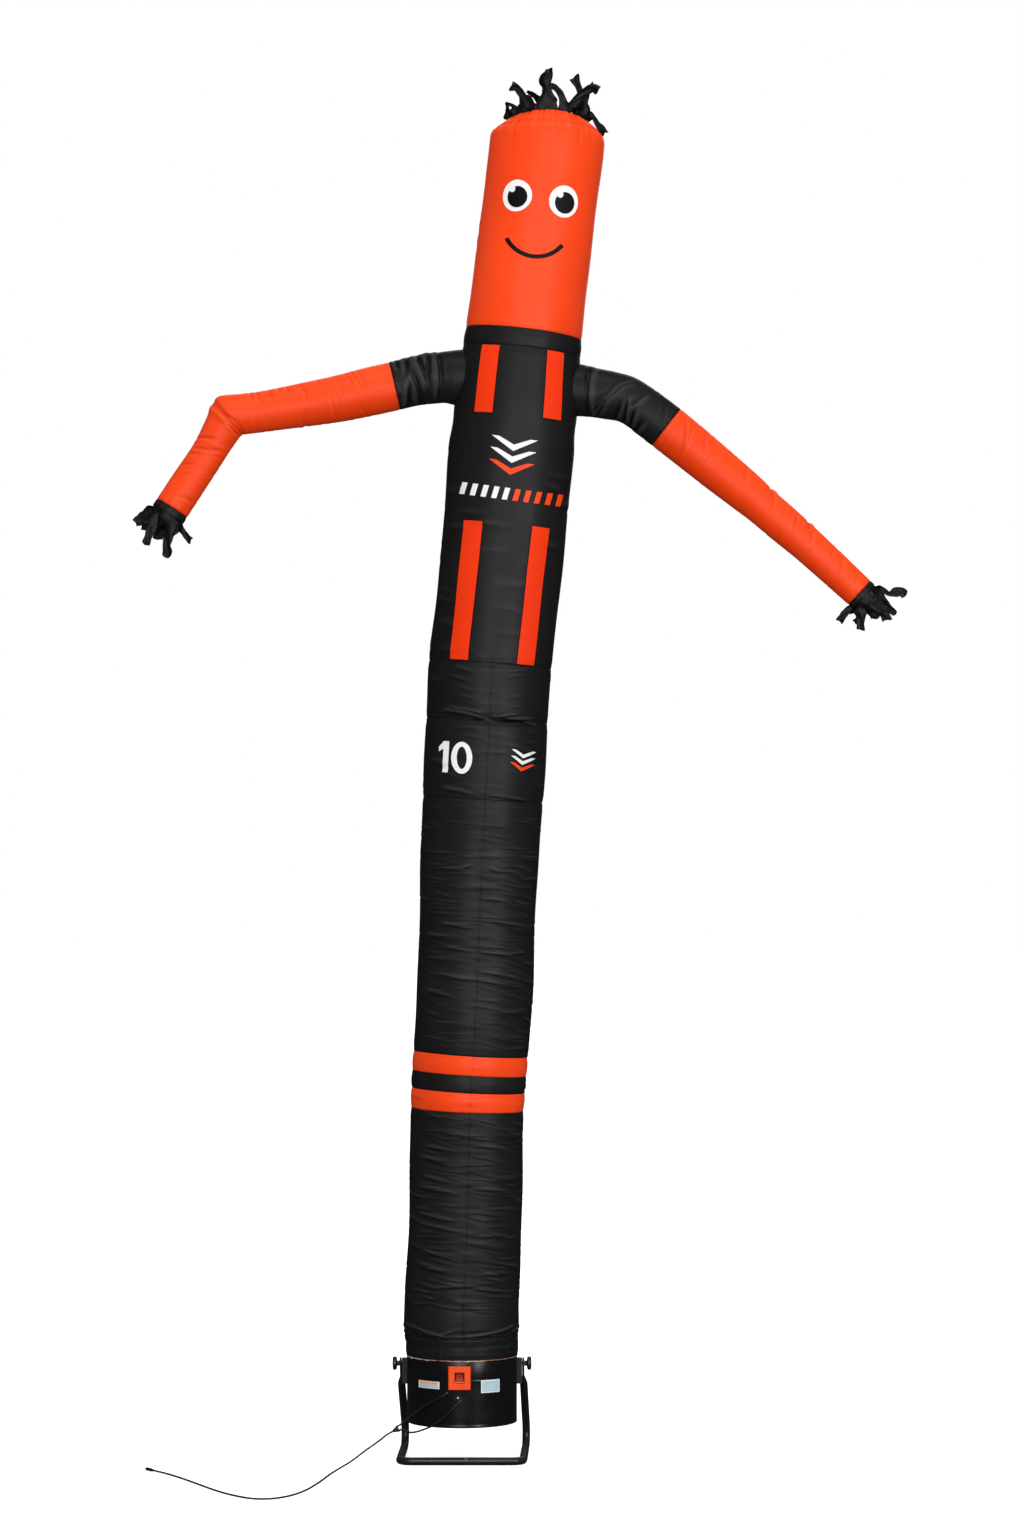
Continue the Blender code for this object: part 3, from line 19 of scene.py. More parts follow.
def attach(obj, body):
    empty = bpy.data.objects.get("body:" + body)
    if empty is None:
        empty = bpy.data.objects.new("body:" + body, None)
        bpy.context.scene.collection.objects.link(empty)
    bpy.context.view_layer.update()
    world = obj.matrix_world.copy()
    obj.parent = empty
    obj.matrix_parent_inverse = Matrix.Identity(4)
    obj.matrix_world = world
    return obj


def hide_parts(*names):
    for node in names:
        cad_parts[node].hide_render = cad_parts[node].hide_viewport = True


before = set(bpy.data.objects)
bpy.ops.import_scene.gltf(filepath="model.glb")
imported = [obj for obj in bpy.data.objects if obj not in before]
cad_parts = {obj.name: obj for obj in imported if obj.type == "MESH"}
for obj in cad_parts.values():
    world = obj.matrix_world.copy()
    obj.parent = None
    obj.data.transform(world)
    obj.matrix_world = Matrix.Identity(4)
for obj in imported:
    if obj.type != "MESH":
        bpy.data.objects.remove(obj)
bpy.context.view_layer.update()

# ---- Sizes shared with the CAD source --------------------------------------

ORIGIN = Vector((-0.1544, -0.0243, 0.0))
GAP = 0.0003
DRUM_RADIUS = 0.1460
DRUM_WALL = 0.0025
DRUM_BOTTOM = 0.101
DRUM_TOP = 0.304
BEAD_HEIGHT = 0.228
PIVOT_HEIGHT = 0.254
LEG_X = 0.1625
COLLAR_BOTTOM = 0.2785
TUBE_BOTTOM = 0.3165
RIM_HEIGHT = 3.5585
RIM_RADIUS = 0.1100
CORD_DIAMETER = 0.005


def metres(rows):
    """A table that is written in millimetres."""
    return np.array(rows) / 1000


BODY = metres((
    # height, right,  back,  radius
    (250, -1.5, 0, 148.5),
    (312, -1.5, 0, 149),
    (345, -1.8, 0, 153),
    (421, -1, 0, 151.7),
    (554, 5, 1, 150.2),
    (686, 9.8, 1, 149.8),
    (819, 12.2, 2, 150),
    (951, 16.4, 2, 151.2),
    (1057, 22.4, 3, 152.2),
    (1216, 31.9, 5, 154.6),
    (1375, 38, 7, 153.2),
    (1614, 48, 11, 157),
    (1746, 55.5, 13, 160.4),
    (1958, 66.5, 17, 162.2),
    (2117, 75.6, 20, 162.8),
    (2276, 93.1, 23, 162.7),
    (2435, 109.6, 26, 163.2),
    (2647, 129.7, 31, 166.2),
    (2780, 143, 34, 164.5),
    (2952, 159, 39, 156.3),
    (3071, 173.2, 42, 153.8),
    (3177, 186.9, 45, 152.1),
    (3283, 200, 48, 151.6),
    (3389, 213.4, 51, 152),
    (3495, 226.2, 54, 152),
    (3600, 231.5, 56, 152),
))
CROWN = metres((
    # height, radius
    (3495, 152),
    (3505, 151.5),
    (3520, 147),
    (3535, 135.5),
    (3549, 122),
    (RIM_HEIGHT * 1000, RIM_RADIUS * 1000),
))
SIDE_LEFT = metres((
    # right,  back,   up,    radius
    (40, 33, 2873, 73),
    (-20, 33, 2868, 72.5),
    (-45, 33, 2869, 68.5),
    (-85, 32, 2866, 68),
    (-132, 31, 2857.5, 65.5),
    (-180, 30, 2845.5, 64.8),
    (-240, 28, 2831.8, 64.5),
    (-326, 26, 2812, 61.8),
    (-413, 24, 2796.3, 58.5),
    (-482, 22, 2784.5, 55.6),
    (-549, 21, 2774, 53.8),
    (-590, 20, 2769.5, 54.2),
    (-617, 19, 2765, 54),
    (-635, 18, 2733, 50.8),
    (-658, 16, 2693, 46.8),
    (-678, 14, 2659, 45.5),
    (-728, 10, 2583.5, 46.6),
    (-769, 6, 2520, 47),
    (-779, 5, 2504, 47.8),
))
SIDE_RIGHT = metres((
    (250, 36, 2841, 70),
    (315, 36, 2834, 69),
    (350, 36, 2828.5, 65.5),
    (395, 36, 2820.5, 64.2),
    (435, 36, 2811, 61.8),
    (468, 36, 2792.5, 60.5),
    (505, 36, 2765, 61.5),
    (542.7, 36, 2736, 61.5),
    (610, 36, 2682, 60.5),
    (684, 36, 2621.3, 58),
    (754, 36, 2564.3, 54.5),
    (800, 35, 2525, 50.8),
    (856, 35, 2477, 50),
    (916.5, 34, 2424.5, 47.2),
    (985, 33, 2362, 45.2),
    (1055, 32, 2297, 43),
    (1066, 32, 2287, 43.2),
))
LEAD_ROUTE = metres((
    (-44, -151.5, 190),
    (-48, -152.5, 187.5),
    (-56, -149, 182.5),
    (-69, -140, 175),
    (-83, -129.5, 166.5),
    (-105, -112.5, 150),
    (-125, -100, 134.5),
    (-144, -92.5, 118.5),
    (-155.2, -90.5, 108.6),
    (-163.1, -90.5, 102.3),
))
BRANCH_ROUTE = metres((
    (-9.5, -155.5, 167.5),
    (-13.5, -159, 164),
    (-21, -160, 157.5),
    (-31, -157, 146),
    (-43, -151, 133.8),
    (-61, -143, 118),
    (-79, -135, 105.4),
    (-98.9, -125, 95.8),
    (-118, -113, 88),
    (-134, -102, 84.5),
    (-143, -96, 86.8),
    (-151, -92.2, 90.5),
    (-157.5, -90.8, 91.5),
))
MAINS_ROUTE = metres((
    (-186.5, -91.2, 83.2),
    (-198, -96, 76.8),
    (-214.3, -113, 66),
    (-251.5, -142, 43),
    (-287, -172, 20),
    (-316, -206, 6.5),
    (-332, -250, 2.6),
    (-343, -310, 2.6),
    (-356, -390, 2.6),
    (-373, -480, 2.6),
    (-393, -564, 2.6),
    (-422, -640, 2.6),
    (-458, -688, 2.6),
    (-490, -702, 2.6),
    (-525, -692, 2.6),
    (-576, -634, 2.6),
    (-615, -570, 2.6),
    (-650, -500, 2.6),
    (-685, -426, 2.6),
    (-720, -355, 2.6),
    (-760, -286, 3.2),
    (-800, -236, 4.7),
))
JOINT_STEP = 0.0060


# ---- Nodes and objects ------------------------------------------------------

class Tree:
    """A small helper that adds and joins the nodes of a material or a world."""

    def __init__(self, owner):
        owner.use_nodes = True
        self.owner = owner
        self.nodes = owner.node_tree.nodes
        self.links = owner.node_tree.links

    def feed(self, node, inputs):
        """Give sockets, by name or number, a value, a colour or a node's output."""
        for name, value in inputs.items():
            socket = node.inputs[name]
            if isinstance(value, bpy.types.NodeSocket):
                self.links.new(value, socket)
            elif socket.type == "RGBA":
                socket.default_value = (*value, 1.0)
            else:
                socket.default_value = value

    def add(self, kind, inputs, **settings):
        node = self.nodes.new(kind)
        for name, value in settings.items():
            setattr(node, name, value)
        self.feed(node, inputs)
        return node.outputs

    def math(self, operation, a, b=0.0, c=0.0):
        return self.add("ShaderNodeMath", {0: a, 1: b, 2: c}, operation=operation)[0]

    def split(self, vector):
        return self.add("ShaderNodeSeparateXYZ", {0: vector})

    def map(self, name):
        """Both numbers of one of the object's maps."""
        return self.split(self.add("ShaderNodeUVMap", {}, uv_map=name)[0])

    def noise(self, scale, detail=3.0, stretch=(1.0, 1.0, 1.0)):
        place = self.add("ShaderNodeTexCoord", {})["Object"]
        lie = self.add("ShaderNodeMapping", {"Vector": place, "Scale": stretch})[0]
        noise = {"Vector": lie, "Scale": scale, "Detail": detail}
        return self.add("ShaderNodeTexNoise", noise)["Fac"]

    def between(self, value, low, high, start=0.3, end=0.7):
        """Carry start..end, which is most of a noise, to low..high."""
        return self.add("ShaderNodeMapRange", {
            "Value": value, "From Min": start, "From Max": end, "To Min": low, "To Max": high})[0]

    def blend(self, share, first, second):
        return self.add("ShaderNodeMix", {0: share, 6: first, 7: second}, data_type="RGBA")[2]

    def patchy(self, scale, first, second):
        """Two colours in soft patches."""
        return self.blend(self.between(self.noise(scale), 0.0, 1.0), first, second)

    def relief(self, height, strength, distance):
        return self.add("ShaderNodeBump", {
            "Height": height, "Strength": strength, "Distance": distance})[0]

    def surface(self, **values):
        """Set the material's shader, and return the material."""
        values = {name.replace("_", " "): value for name, value in values.items()}
        self.feed(self.nodes["Principled BSDF"], values)
        return self.owner


def new_object(name, data):
    obj = bpy.data.objects.new(name, data)
    bpy.context.collection.objects.link(obj)
    return obj


# ---- Camera and light -------------------------------------------------------

# The picture's scale at the blower's axis. The camera looks level, along +Y.
METRE_PER_PIXEL = 0.00265
CAMERA_RIGHT = 49 * METRE_PER_PIXEL
CAMERA_BACK = -13.1
CAMERA_HEIGHT = 724 * METRE_PER_PIXEL
LENS = 115.7
SENSOR = 36.0
SHIFT_DOWN = -34 / 1538


def add_camera():
    data = bpy.data.cameras.new("camera")
    data.sensor_width = SENSOR
    data.lens = LENS
    data.shift_y = SHIFT_DOWN
    data.clip_end = 200.0
    camera = new_object("camera", data)
    camera.location = ORIGIN + Vector((CAMERA_RIGHT, CAMERA_BACK, CAMERA_HEIGHT))
    camera.rotation_euler = (math.radians(90.0), 0.0, 0.0)
    bpy.context.scene.camera = camera


BACKDROP = 1.0
ROOM_FILL = 0.58
ROOM_SHINE = 0.03
SOFTBOXES = (
    # name, place, aim, (width, height), watts, whether it lights matt surfaces too
    ("key_light", (-0.4, -6.0, 2.4), (0.1, 0.0, 2.0), (2.0, 4.6), 130.0, True),
    ("shine_light", (-0.5, -6.2, 2.7), (0.1, 0.0, 2.3), (4.2, 2.6), 90.0, False),
    ("side_light", (3.2, -5.0, 2.2), (0.1, 0.0, 1.8), (0.9, 4.2), 90.0, True),
    ("side_shine", (3.6, -4.6, 2.4), (0.1, 0.0, 1.9), (1.2, 3.2), 100.0, False),
    ("top_light", (0.5, -1.6, 6.4), (0.1, 0.0, 2.4), (3.0, 2.0), 58.0, True),
    ("back_light", (0.4, 4.6, 4.4), (0.1, 0.0, 1.9), (3.4, 3.4), 60.0, True),
)


def add_light():
    for name, place, aim, size, power, spreads in SOFTBOXES:
        data = bpy.data.lights.new(name, "AREA")
        data.shape = "RECTANGLE"
        data.size, data.size_y = size
        data.energy = power
        light = new_object(name, data)
        light.location = ORIGIN + Vector(place)
        towards = ORIGIN + Vector(aim) - light.location
        light.rotation_euler = towards.to_track_quat("-Z", "Y").to_euler()
        light.visible_diffuse = spreads


def add_world():
    """White behind the object; a dim room in its shine and a brighter one for fill."""
    world = bpy.data.worlds.new("room")
    bpy.context.scene.world = world
    tree = Tree(world)
    world.cycles.sampling_method = "NONE"
    tree.nodes.clear()
    path = tree.add("ShaderNodeLightPath", {})

    def white(strength):
        return tree.add("ShaderNodeBackground", {"Color": (1.0, 1.0, 1.0), "Strength": strength})[0]

    def choose(ray, no, yes):
        return tree.add("ShaderNodeMixShader", {0: path[ray], 1: no, 2: yes})[0]

    up = tree.split(tree.add("ShaderNodeTexCoord", {})["Generated"])[2]
    overhead = tree.between(up, 0.30 * ROOM_FILL, 1.55 * ROOM_FILL, -0.5, 0.5)
    lit = choose("Is Glossy Ray", white(overhead), white(ROOM_SHINE))
    tree.add("ShaderNodeOutputWorld", {"Surface": choose("Is Camera Ray", lit, white(BACKDROP))})


FLOOR_REACH = 30.0
FLOOR_GLOW = 0.62


def add_floor():
    """A pale floor that gives off some light of its own and takes the shadows."""
    mesh = bpy.data.meshes.new("floor")
    corners = [(x * FLOOR_REACH, y * FLOOR_REACH, 0)
               for x, y in ((-1, -1), (1, -1), (1, 1), (-1, 1))]
    mesh.from_pydata(corners, [], [(0, 1, 2, 3)])
    pale = Tree(bpy.data.materials.new("pale_floor"))
    mesh.materials.append(pale.surface(
        Base_Color=grey(0.86), Roughness=0.9, Emission_Color=grey(1.0),
        Emission_Strength=FLOOR_GLOW))
    floor = new_object("floor", mesh)
    floor.visible_diffuse = False
    floor.visible_glossy = False


# ---- Materials --------------------------------------------------------------

WEAVE_PITCH = 0.0011
STITCH_PITCH = 0.0042
STITCH_FILLED = 0.72
STITCH_ROWS = (0.0035, 0.0075)
STITCH_HALF_WIDTH = 0.0006


def nylon(name, colour, shade, thread, rough, gloss, furrow_shade=0.65, scuffs_and_ridge_highlight=0.75):
    """Coated woven nylon: threads, painted shade in its creases with a painted highlight on their
    ridges, and rows of stitches.

    The map called weave holds metres across and along the cloth. The map
    called sewn holds metres along the nearest seam and away from it. The map
    called crease holds how far a place lies in a furrow and on a ridge: furrows
    take a painted shade and ridges a painted highlight, each by its own share.
    """
    tree = Tree(bpy.data.materials.new(name))
    weave, sewn, crease = tree.map("weave"), tree.map("sewn"), tree.map("crease")
    turns = 2 * math.pi / WEAVE_PITCH
    warp = tree.math("SINE", tree.math("MULTIPLY", weave[0], turns))
    weft = tree.math("SINE", tree.math("MULTIPLY", weave[1], turns))
    dash = tree.math("FRACT", tree.math("DIVIDE", sewn[0], STITCH_PITCH))
    dash = tree.math("LESS_THAN", dash, STITCH_FILLED)
    near, far = (tree.math("COMPARE", sewn[1], row, STITCH_HALF_WIDTH) for row in STITCH_ROWS)
    stitches = tree.math("MULTIPLY", dash, tree.math("MAXIMUM", near, far))
    base = tree.patchy(5.0, shade, colour)
    # Painted shade: furrows are darkened towards a quarter of the second colour.
    furrows = tree.math("MULTIPLY", crease[0], furrow_shade)
    base = tree.blend(furrows, base, tuple(0.25 * c for c in shade))
    # Painted highlight: ridges are paled towards a brighter copy of the main colour.
    ridges = tree.math("MULTIPLY", crease[1], scuffs_and_ridge_highlight)
    base = tree.blend(ridges, base, tuple(min(1.0, 1.9 * c + 0.014) for c in colour))
    fine = tree.math("MULTIPLY", tree.math("MULTIPLY", warp, weft), 0.20)
    grain = tree.math("MULTIPLY", tree.noise(260.0, 2.0), 0.7)
    crumple = tree.math("MULTIPLY", tree.noise(62.0, 4.0, (1.0, 1.0, 1.9)), 4.2)
    height = tree.math("ADD", tree.math("ADD", fine, grain), tree.math("MULTIPLY", stitches, 0.5))
    return tree.surface(
        Normal=tree.relief(tree.math("ADD", height, crumple), 0.25, 0.0004),
        Base_Color=tree.blend(tree.math("MULTIPLY", stitches, 0.6), base, thread),
        Roughness=tree.between(tree.noise(14.0), rough - 0.04, rough + 0.05),
        Specular_IOR_Level=gloss,
    )


def plastic(tree, colour, rough, gloss):
    """Finish a moulded plastic: a fine grain, with a slightly uneven shine."""
    return tree.surface(
        Normal=tree.relief(tree.noise(900.0, 2.0), 0.12, 0.0002),
        Base_Color=colour,
        Roughness=tree.between(tree.noise(30.0), rough - 0.05, rough + 0.07),
        Specular_IOR_Level=gloss,
    )


def moulded(name, colour, shade, rough, gloss=0.5):
    tree = Tree(bpy.data.materials.new(name))
    return plastic(tree, tree.patchy(9.0, shade, colour), rough, gloss)


def rocker_plastic(name, colour, dark, lip):
    """The rocker: a red key with painted shade round its rim, where it sits in its recess, and a
    bright lip along its foot.
    """
    tree = Tree(bpy.data.materials.new(name))
    spot = tree.split(tree.add("ShaderNodeTexCoord", {})["Generated"])
    across = tree.math("COMPARE", spot[0], 0.5, 0.34)
    up = tree.math("COMPARE", spot[2], 0.54, 0.34)
    # Painted shade: the rim round the key takes the second, near-black colour, as if its recess lay
    # in shade.
    key = tree.blend(tree.math("MULTIPLY", across, up), dark, colour)
    foot = tree.math("LESS_THAN", spot[2], 0.10)
    return plastic(tree, tree.blend(foot, key, lip), 0.35, 0.12)


def painted(name, colour, scuff, rough):
    """Satin paint on steel, with faint runs and small scuffs."""
    tree = Tree(bpy.data.materials.new(name))
    scuffs_and_ridge_highlight = tree.math("GREATER_THAN", tree.noise(70.0, 4.0, (1.0, 1.0, 0.3)), 0.715)
    base = tree.patchy(12.0, colour, tuple(1.7 * c for c in colour))
    return tree.surface(
        Normal=tree.relief(tree.noise(420.0, 2.0), 0.10, 0.0003),
        Base_Color=tree.blend(scuffs_and_ridge_highlight, base, scuff),
        Roughness=tree.between(tree.noise(45.0), rough - 0.06, rough + 0.08),
        Specular_IOR_Level=0.3,
        Coat_Weight=0.08,
        Coat_Roughness=0.2,
    )


def printed_plate(name, field, strip, share):
    """A blank plate: pale border and field, and a coloured strip along its top.

    The map called plate runs from 0 to 1 across the plate and up it.
    """
    tree = Tree(bpy.data.materials.new(name))
    spot = tree.map("plate")
    across = tree.math("COMPARE", spot[0], 0.5, 0.455)
    up = tree.math("COMPARE", spot[1], 0.5, 0.43)
    inside = tree.math("MULTIPLY", across, up)
    top = tree.math("GREATER_THAN", spot[1], share)
    middle = tree.blend(top, tree.patchy(60.0, field, tuple(0.86 * c for c in field)), strip)
    return tree.surface(
        Base_Color=tree.blend(inside, (0.78, 0.80, 0.80), middle),
        Roughness=0.35,
        Specular_IOR_Level=0.4,
    )


def grey(level):
    return (level, level, level)


def make_materials():
    """Every finish: its main colour, a second one, then thread, shine, and for cloth how much
    painted shade its furrows and painted highlight its ridges take.
    """
    return {
        "orange": nylon("orange_nylon", (0.92, 0.059, 0.0030), (0.85, 0.048, 0.0024),
                        (0.74, 0.034, 0.003), 0.44, 0.16, 0.24, 0.20),
        "stripe": nylon("orange_stripe", (0.84, 0.036, 0.0015), (0.80, 0.032, 0.0015),
                        (0.5, 0.02, 0.002), 0.5, 0.10),
        "black": nylon("black_nylon", (0.0108, 0.0108, 0.0110), (0.0090, 0.0090, 0.0092),
                       grey(0.006), 0.47, 0.14),
        "strip": nylon("black_strips", (0.0060, 0.0060, 0.0062), (0.0040, 0.0040, 0.0041),
                       grey(0.004), 0.40, 0.13),
        "white": nylon("white_cloth", (0.86, 0.86, 0.85), grey(0.80), grey(0.6), 0.55, 0.2),
        "ink": nylon("black_print", grey(0.0045), grey(0.003), grey(0.006), 0.55, 0.12),
        "trim": nylon("pale_edging", (0.86, 0.66, 0.53), (0.26, 0.10, 0.055),
                      (0.9, 0.7, 0.6), 0.6, 0.3),
        "casing": moulded("black_casing", (0.0056, 0.0056, 0.0058), (0.0044, 0.0044, 0.0046),
                          0.27, 0.24),
        "knob": moulded("black_knob", grey(0.010), grey(0.007), 0.42),
        "switch": moulded("orange_moulding", (0.90, 0.072, 0.0035), (0.80, 0.060, 0.003),
                          0.34, 0.22),
        # The rocker's second colour is the painted shade round its key.
        "rocker": rocker_plastic("orange_rocker", (0.30, 0.018, 0.002), (0.030, 0.006, 0.003),
                                 (0.85, 0.16, 0.006)),
        "rubber": moulded("black_rubber", grey(0.011), grey(0.008), 0.5, 0.4),
        "steel": painted("black_paint", (0.0085, 0.0090, 0.0095), grey(0.09), 0.30),
        "bracket": painted("bracket_paint", (0.0040, 0.0040, 0.0042), grey(0.03), 0.42),
        "motor": painted("motor_paint", grey(0.010), grey(0.08), 0.42),
        "screw": moulded("bright_screw", grey(0.55), grey(0.45), 0.3),
        "plate_left": printed_plate("left_plate", (0.42, 0.55, 0.68), (0.86, 0.30, 0.07), 0.66),
        "plate_right": printed_plate("right_plate", (0.46, 0.62, 0.70), (0.50, 0.66, 0.74), 0.9),
    }


# ---- Meshes -----------------------------------------------------------------

def object_from(name, points, faces, material):
    """An object round the blower's axis, moved onto the frame's origin."""
    mesh = bpy.data.meshes.new(name)
    moved = np.asarray(points, float).reshape(-1, 3) + np.array(ORIGIN)
    sizes = [len(face) for face in faces]
    mesh.vertices.add(len(moved))
    mesh.vertices.foreach_set("co", moved.astype(np.float32).ravel())
    mesh.loops.add(sum(sizes))
    mesh.loops.foreach_set("vertex_index", np.concatenate(faces).astype(np.int32))
    mesh.polygons.add(len(sizes))
    mesh.polygons.foreach_set("loop_start", np.cumsum([0] + sizes[:-1]).astype(np.int32))
    mesh.update(calc_edges=True)
    mesh.materials.append(material)
    mesh.shade_smooth()
    return new_object(name, mesh)


def corner_points(obj):
    """The number of the point at each corner of each face."""
    found = np.empty(len(obj.data.loops), np.int32)
    obj.data.loops.foreach_get("vertex_index", found)
    return found


def thin_sheet(name, walls, material):
    """A closed thin sheet from two grids of points, and where each corner lies."""
    rows, columns = walls[0].shape[:2]
    numbers = np.arange(2 * rows * columns).reshape(2, rows, columns)
    obj = object_from(name, walls, wall_faces(*numbers), material)
    return obj, corner_points(obj) % (rows * columns)


def grid_area(grid):
    one = grid[1:, 1:] - grid[:-1, :-1]
    other = grid[1:, :-1] - grid[:-1, 1:]
    return float(np.linalg.norm(np.cross(one, other), axis=-1).sum() / 2)


def round_axis(reach, turn, height):
    """Points round the blower's axis, from reach, degrees and height."""
    angle = np.radians(turn)
    return np.stack(np.broadcast_arrays(
        reach * np.sin(angle), -reach * np.cos(angle), height), -1)


def lay_map(obj, name, values):
    """A map with one (u, v) for each corner of each face, or one for them all."""
    layer = obj.data.uv_layers.new(name=name)
    corners = np.broadcast_to(np.reshape(values, (-1, 2)), (len(obj.data.loops), 2))
    layer.data.foreach_set("uv", corners.astype(np.float32).ravel())


NO_SEAM = 0.1


def lay_cloth_maps(obj, weave, sewn=(NO_SEAM, NO_SEAM), crease=(0.0, 0.0)):
    """The three maps that nylon reads. Plain cloth has no stitches and no painted crease shade or
    highlight.
    """
    lay_map(obj, "weave", weave)
    lay_map(obj, "sewn", sewn)
    lay_map(obj, "crease", crease)


def finish_piece(obj, slot, *nodes, body="dancer"):
    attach(obj, body)
    if nodes:
        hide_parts(*nodes)
    return obj


def smooth_rows(rows, at):
    """Rows at these first values, on a smooth curve through the rows."""
    at = np.asarray(at, float)
    keys = rows[:, 0]
    spot = np.clip(np.searchsorted(keys, at, "left") - 1, 0, len(rows) - 2)
    before = np.maximum(spot - 1, 0)
    after = np.minimum(spot + 2, len(rows) - 1)
    step = keys[spot + 1] - keys[spot]
    t = ((at - keys[spot]) / step)[..., None]
    rise_in = (rows[spot + 1] - rows[before]) * (step / (keys[spot + 1] - keys[before]))[..., None]
    rise_out = (rows[after] - rows[spot]) * (step / (keys[after] - keys[spot]))[..., None]
    found = (
        rows[spot] * (2 * t**3 - 3 * t**2 + 1)
        + rise_in * (t**3 - 2 * t**2 + t)
        + rows[spot + 1] * (3 * t**2 - 2 * t**3)
        + rise_out * (t**3 - t**2)
    )
    return found[..., 1:]


def ramp(value, low, high):
    t = np.clip((value - low) / (high - low), 0.0, 1.0)
    return t * t * (3 - 2 * t)


def turn_between(a, b):
    return (a - b + 180.0) % 360.0 - 180.0


FLIPPED = [0, 3, 2, 1]


def quads(grid):
    """The corners of each square between the points of a grid of numbers."""
    corners = (grid[:-1, :-1], grid[:-1, 1:], grid[1:, 1:], grid[1:, :-1])
    return np.stack(corners, -1).reshape(-1, 4)


def wall_faces(front, back):
    """Quads of a closed thin sheet, from the point numbers of its two sides."""
    edges = ((front[0], back[0]), (back[-1], front[-1]),
             (back[:, 0], front[:, 0]), (front[:, -1], back[:, -1]))
    rims = [quads(np.stack(edge))[:, FLIPPED] for edge in edges]
    return np.concatenate((quads(front), quads(back)[:, FLIPPED], *rims))


def bump(distance, reach):
    share = np.minimum(np.abs(distance) / reach, 1.0)
    return (1 - share * share) ** 2


def bell(distance, reach):
    return np.exp(-((distance / reach) ** 2))


def fading(distance, reach):
    return np.exp(-np.abs(distance) / reach)


def marks_along(points):
    """Metres along a line of points, at each of them."""
    return np.concatenate(((0.0,), np.cumsum(np.linalg.norm(np.diff(points, axis=0), axis=1))))


def unit(vectors):
    return vectors / np.linalg.norm(vectors, axis=-1, keepdims=True)


def frames_along(direction):
    """Axes of sections across these directions: towards the front, and across."""
    along = unit(direction)
    front = np.zeros_like(along)
    front[..., 1] = -1.0
    front = unit(front - along * np.sum(along * front, -1, keepdims=True))
    return along, front, np.cross(along, front)


# ---- Wrinkles ---------------------------------------------------------------

def furrow(distance, ridge=0.62, ridge_reach=1.25):
    """A crease seen across: a furrow with a soft ridge along its upper side."""
    return bell(distance, 1.0) - ridge * bell(distance - 1.9, ridge_reach)


def press(up, turn, creases):
    """Depth at these places of creases that lie roughly round a tube.

    A crease is: place up the tube, turn, half length in degrees, climb over
    that half length, sag of its ends, half width and depth.
    """
    up, turn = np.broadcast_arrays(up, turn)
    depth = np.zeros(up.shape)
    for at, middle, spread, climb, sag, reach, deep in creases:
        margin = 3.5 * reach + abs(climb) + abs(sag)
        if up.ndim == 2:
            rows = slice(*np.searchsorted(up[:, 0], (at - margin, at + margin)))
        else:
            rows = np.abs(up - at) < margin
        share = turn_between(turn[rows], middle) / spread
        line = at + climb * share - sag * share**2
        across = (up[rows] - line) / reach
        fade = np.clip(1 - share**2, 0.0, 1.0) ** 1.5
        depth[rows] += deep * fade * furrow(across)
    return depth


def scatter(seed, count, low, high, turn_low, turn_high, spread, reach, deep, climb):
    """Rows for press(): small creases strewn between two heights and turns."""
    draw = np.random.RandomState(seed)
    found = []
    for i in range(count):
        at = low + (high - low) * (i + draw.uniform(0.0, 1.0)) / count
        size = draw.uniform(0.5, 1.0)
        found.append((
            at,
            draw.uniform(turn_low, turn_high),
            spread * size,
            climb * draw.uniform(-0.3, 1.5),
            0.003 * draw.uniform(-1.0, 1.0),
            reach * draw.uniform(0.75, 1.3),
            deep * size * draw.uniform(0.6, 1.0),
        ))
    return found


def ripples(turn, seed, count, least, most):
    """An uneven wave round a tube, made of a few sines of whole turns."""
    draw = np.random.RandomState(seed)
    wave = np.zeros_like(np.asarray(turn, float))
    for _ in range(count):
        times = draw.randint(least, most)
        wave += np.sin(np.radians(turn) * times + draw.uniform(0.0, 2 * math.pi))
    return wave / math.sqrt(count)


def in_metres(rows):
    """Rows for press(), from a table in millimetres and degrees."""
    return np.array(rows) * (0.001, 1.0, 1.0, 0.001, 0.001, 0.001, 0.001)


FRONT_SEAM = 2.0
FRONT_SEAM_TOP = 2.105
BACK_SEAM = 180.0

# The panels of the tube: seams between them lie at these heights.
PANELS = (
    # name, finish, bottom, top, columns, row step
    ("lower_tube", "black", TUBE_BOTTOM, 0.928, 112, 0.0022),
    ("band_lower", "orange", 0.928, 0.978, 112, 0.0035),
    ("band_gap", "black", 0.978, 1.0234, 112, 0.0035),
    ("band_upper", "orange", 1.0234, 1.074, 112, 0.0035),
    ("mid_tube", "black", 1.074, 1.747, 112, 0.0023),
    ("belly_panel", "black", 1.747, 1.956, 112, 0.0030),
    ("waist_panel", "black", 1.956, 2.105, 112, 0.0030),
    ("chest_panel", "black", 2.105, 2.937, 112, 0.0045),
    ("neck_band", "black", 2.937, 2.985, 128, 0.0035),
    ("head_panel", "orange", 2.985, RIM_HEIGHT, 160, 0.0060),
)
SEAMS = np.array([row[2] for row in PANELS[1:]])

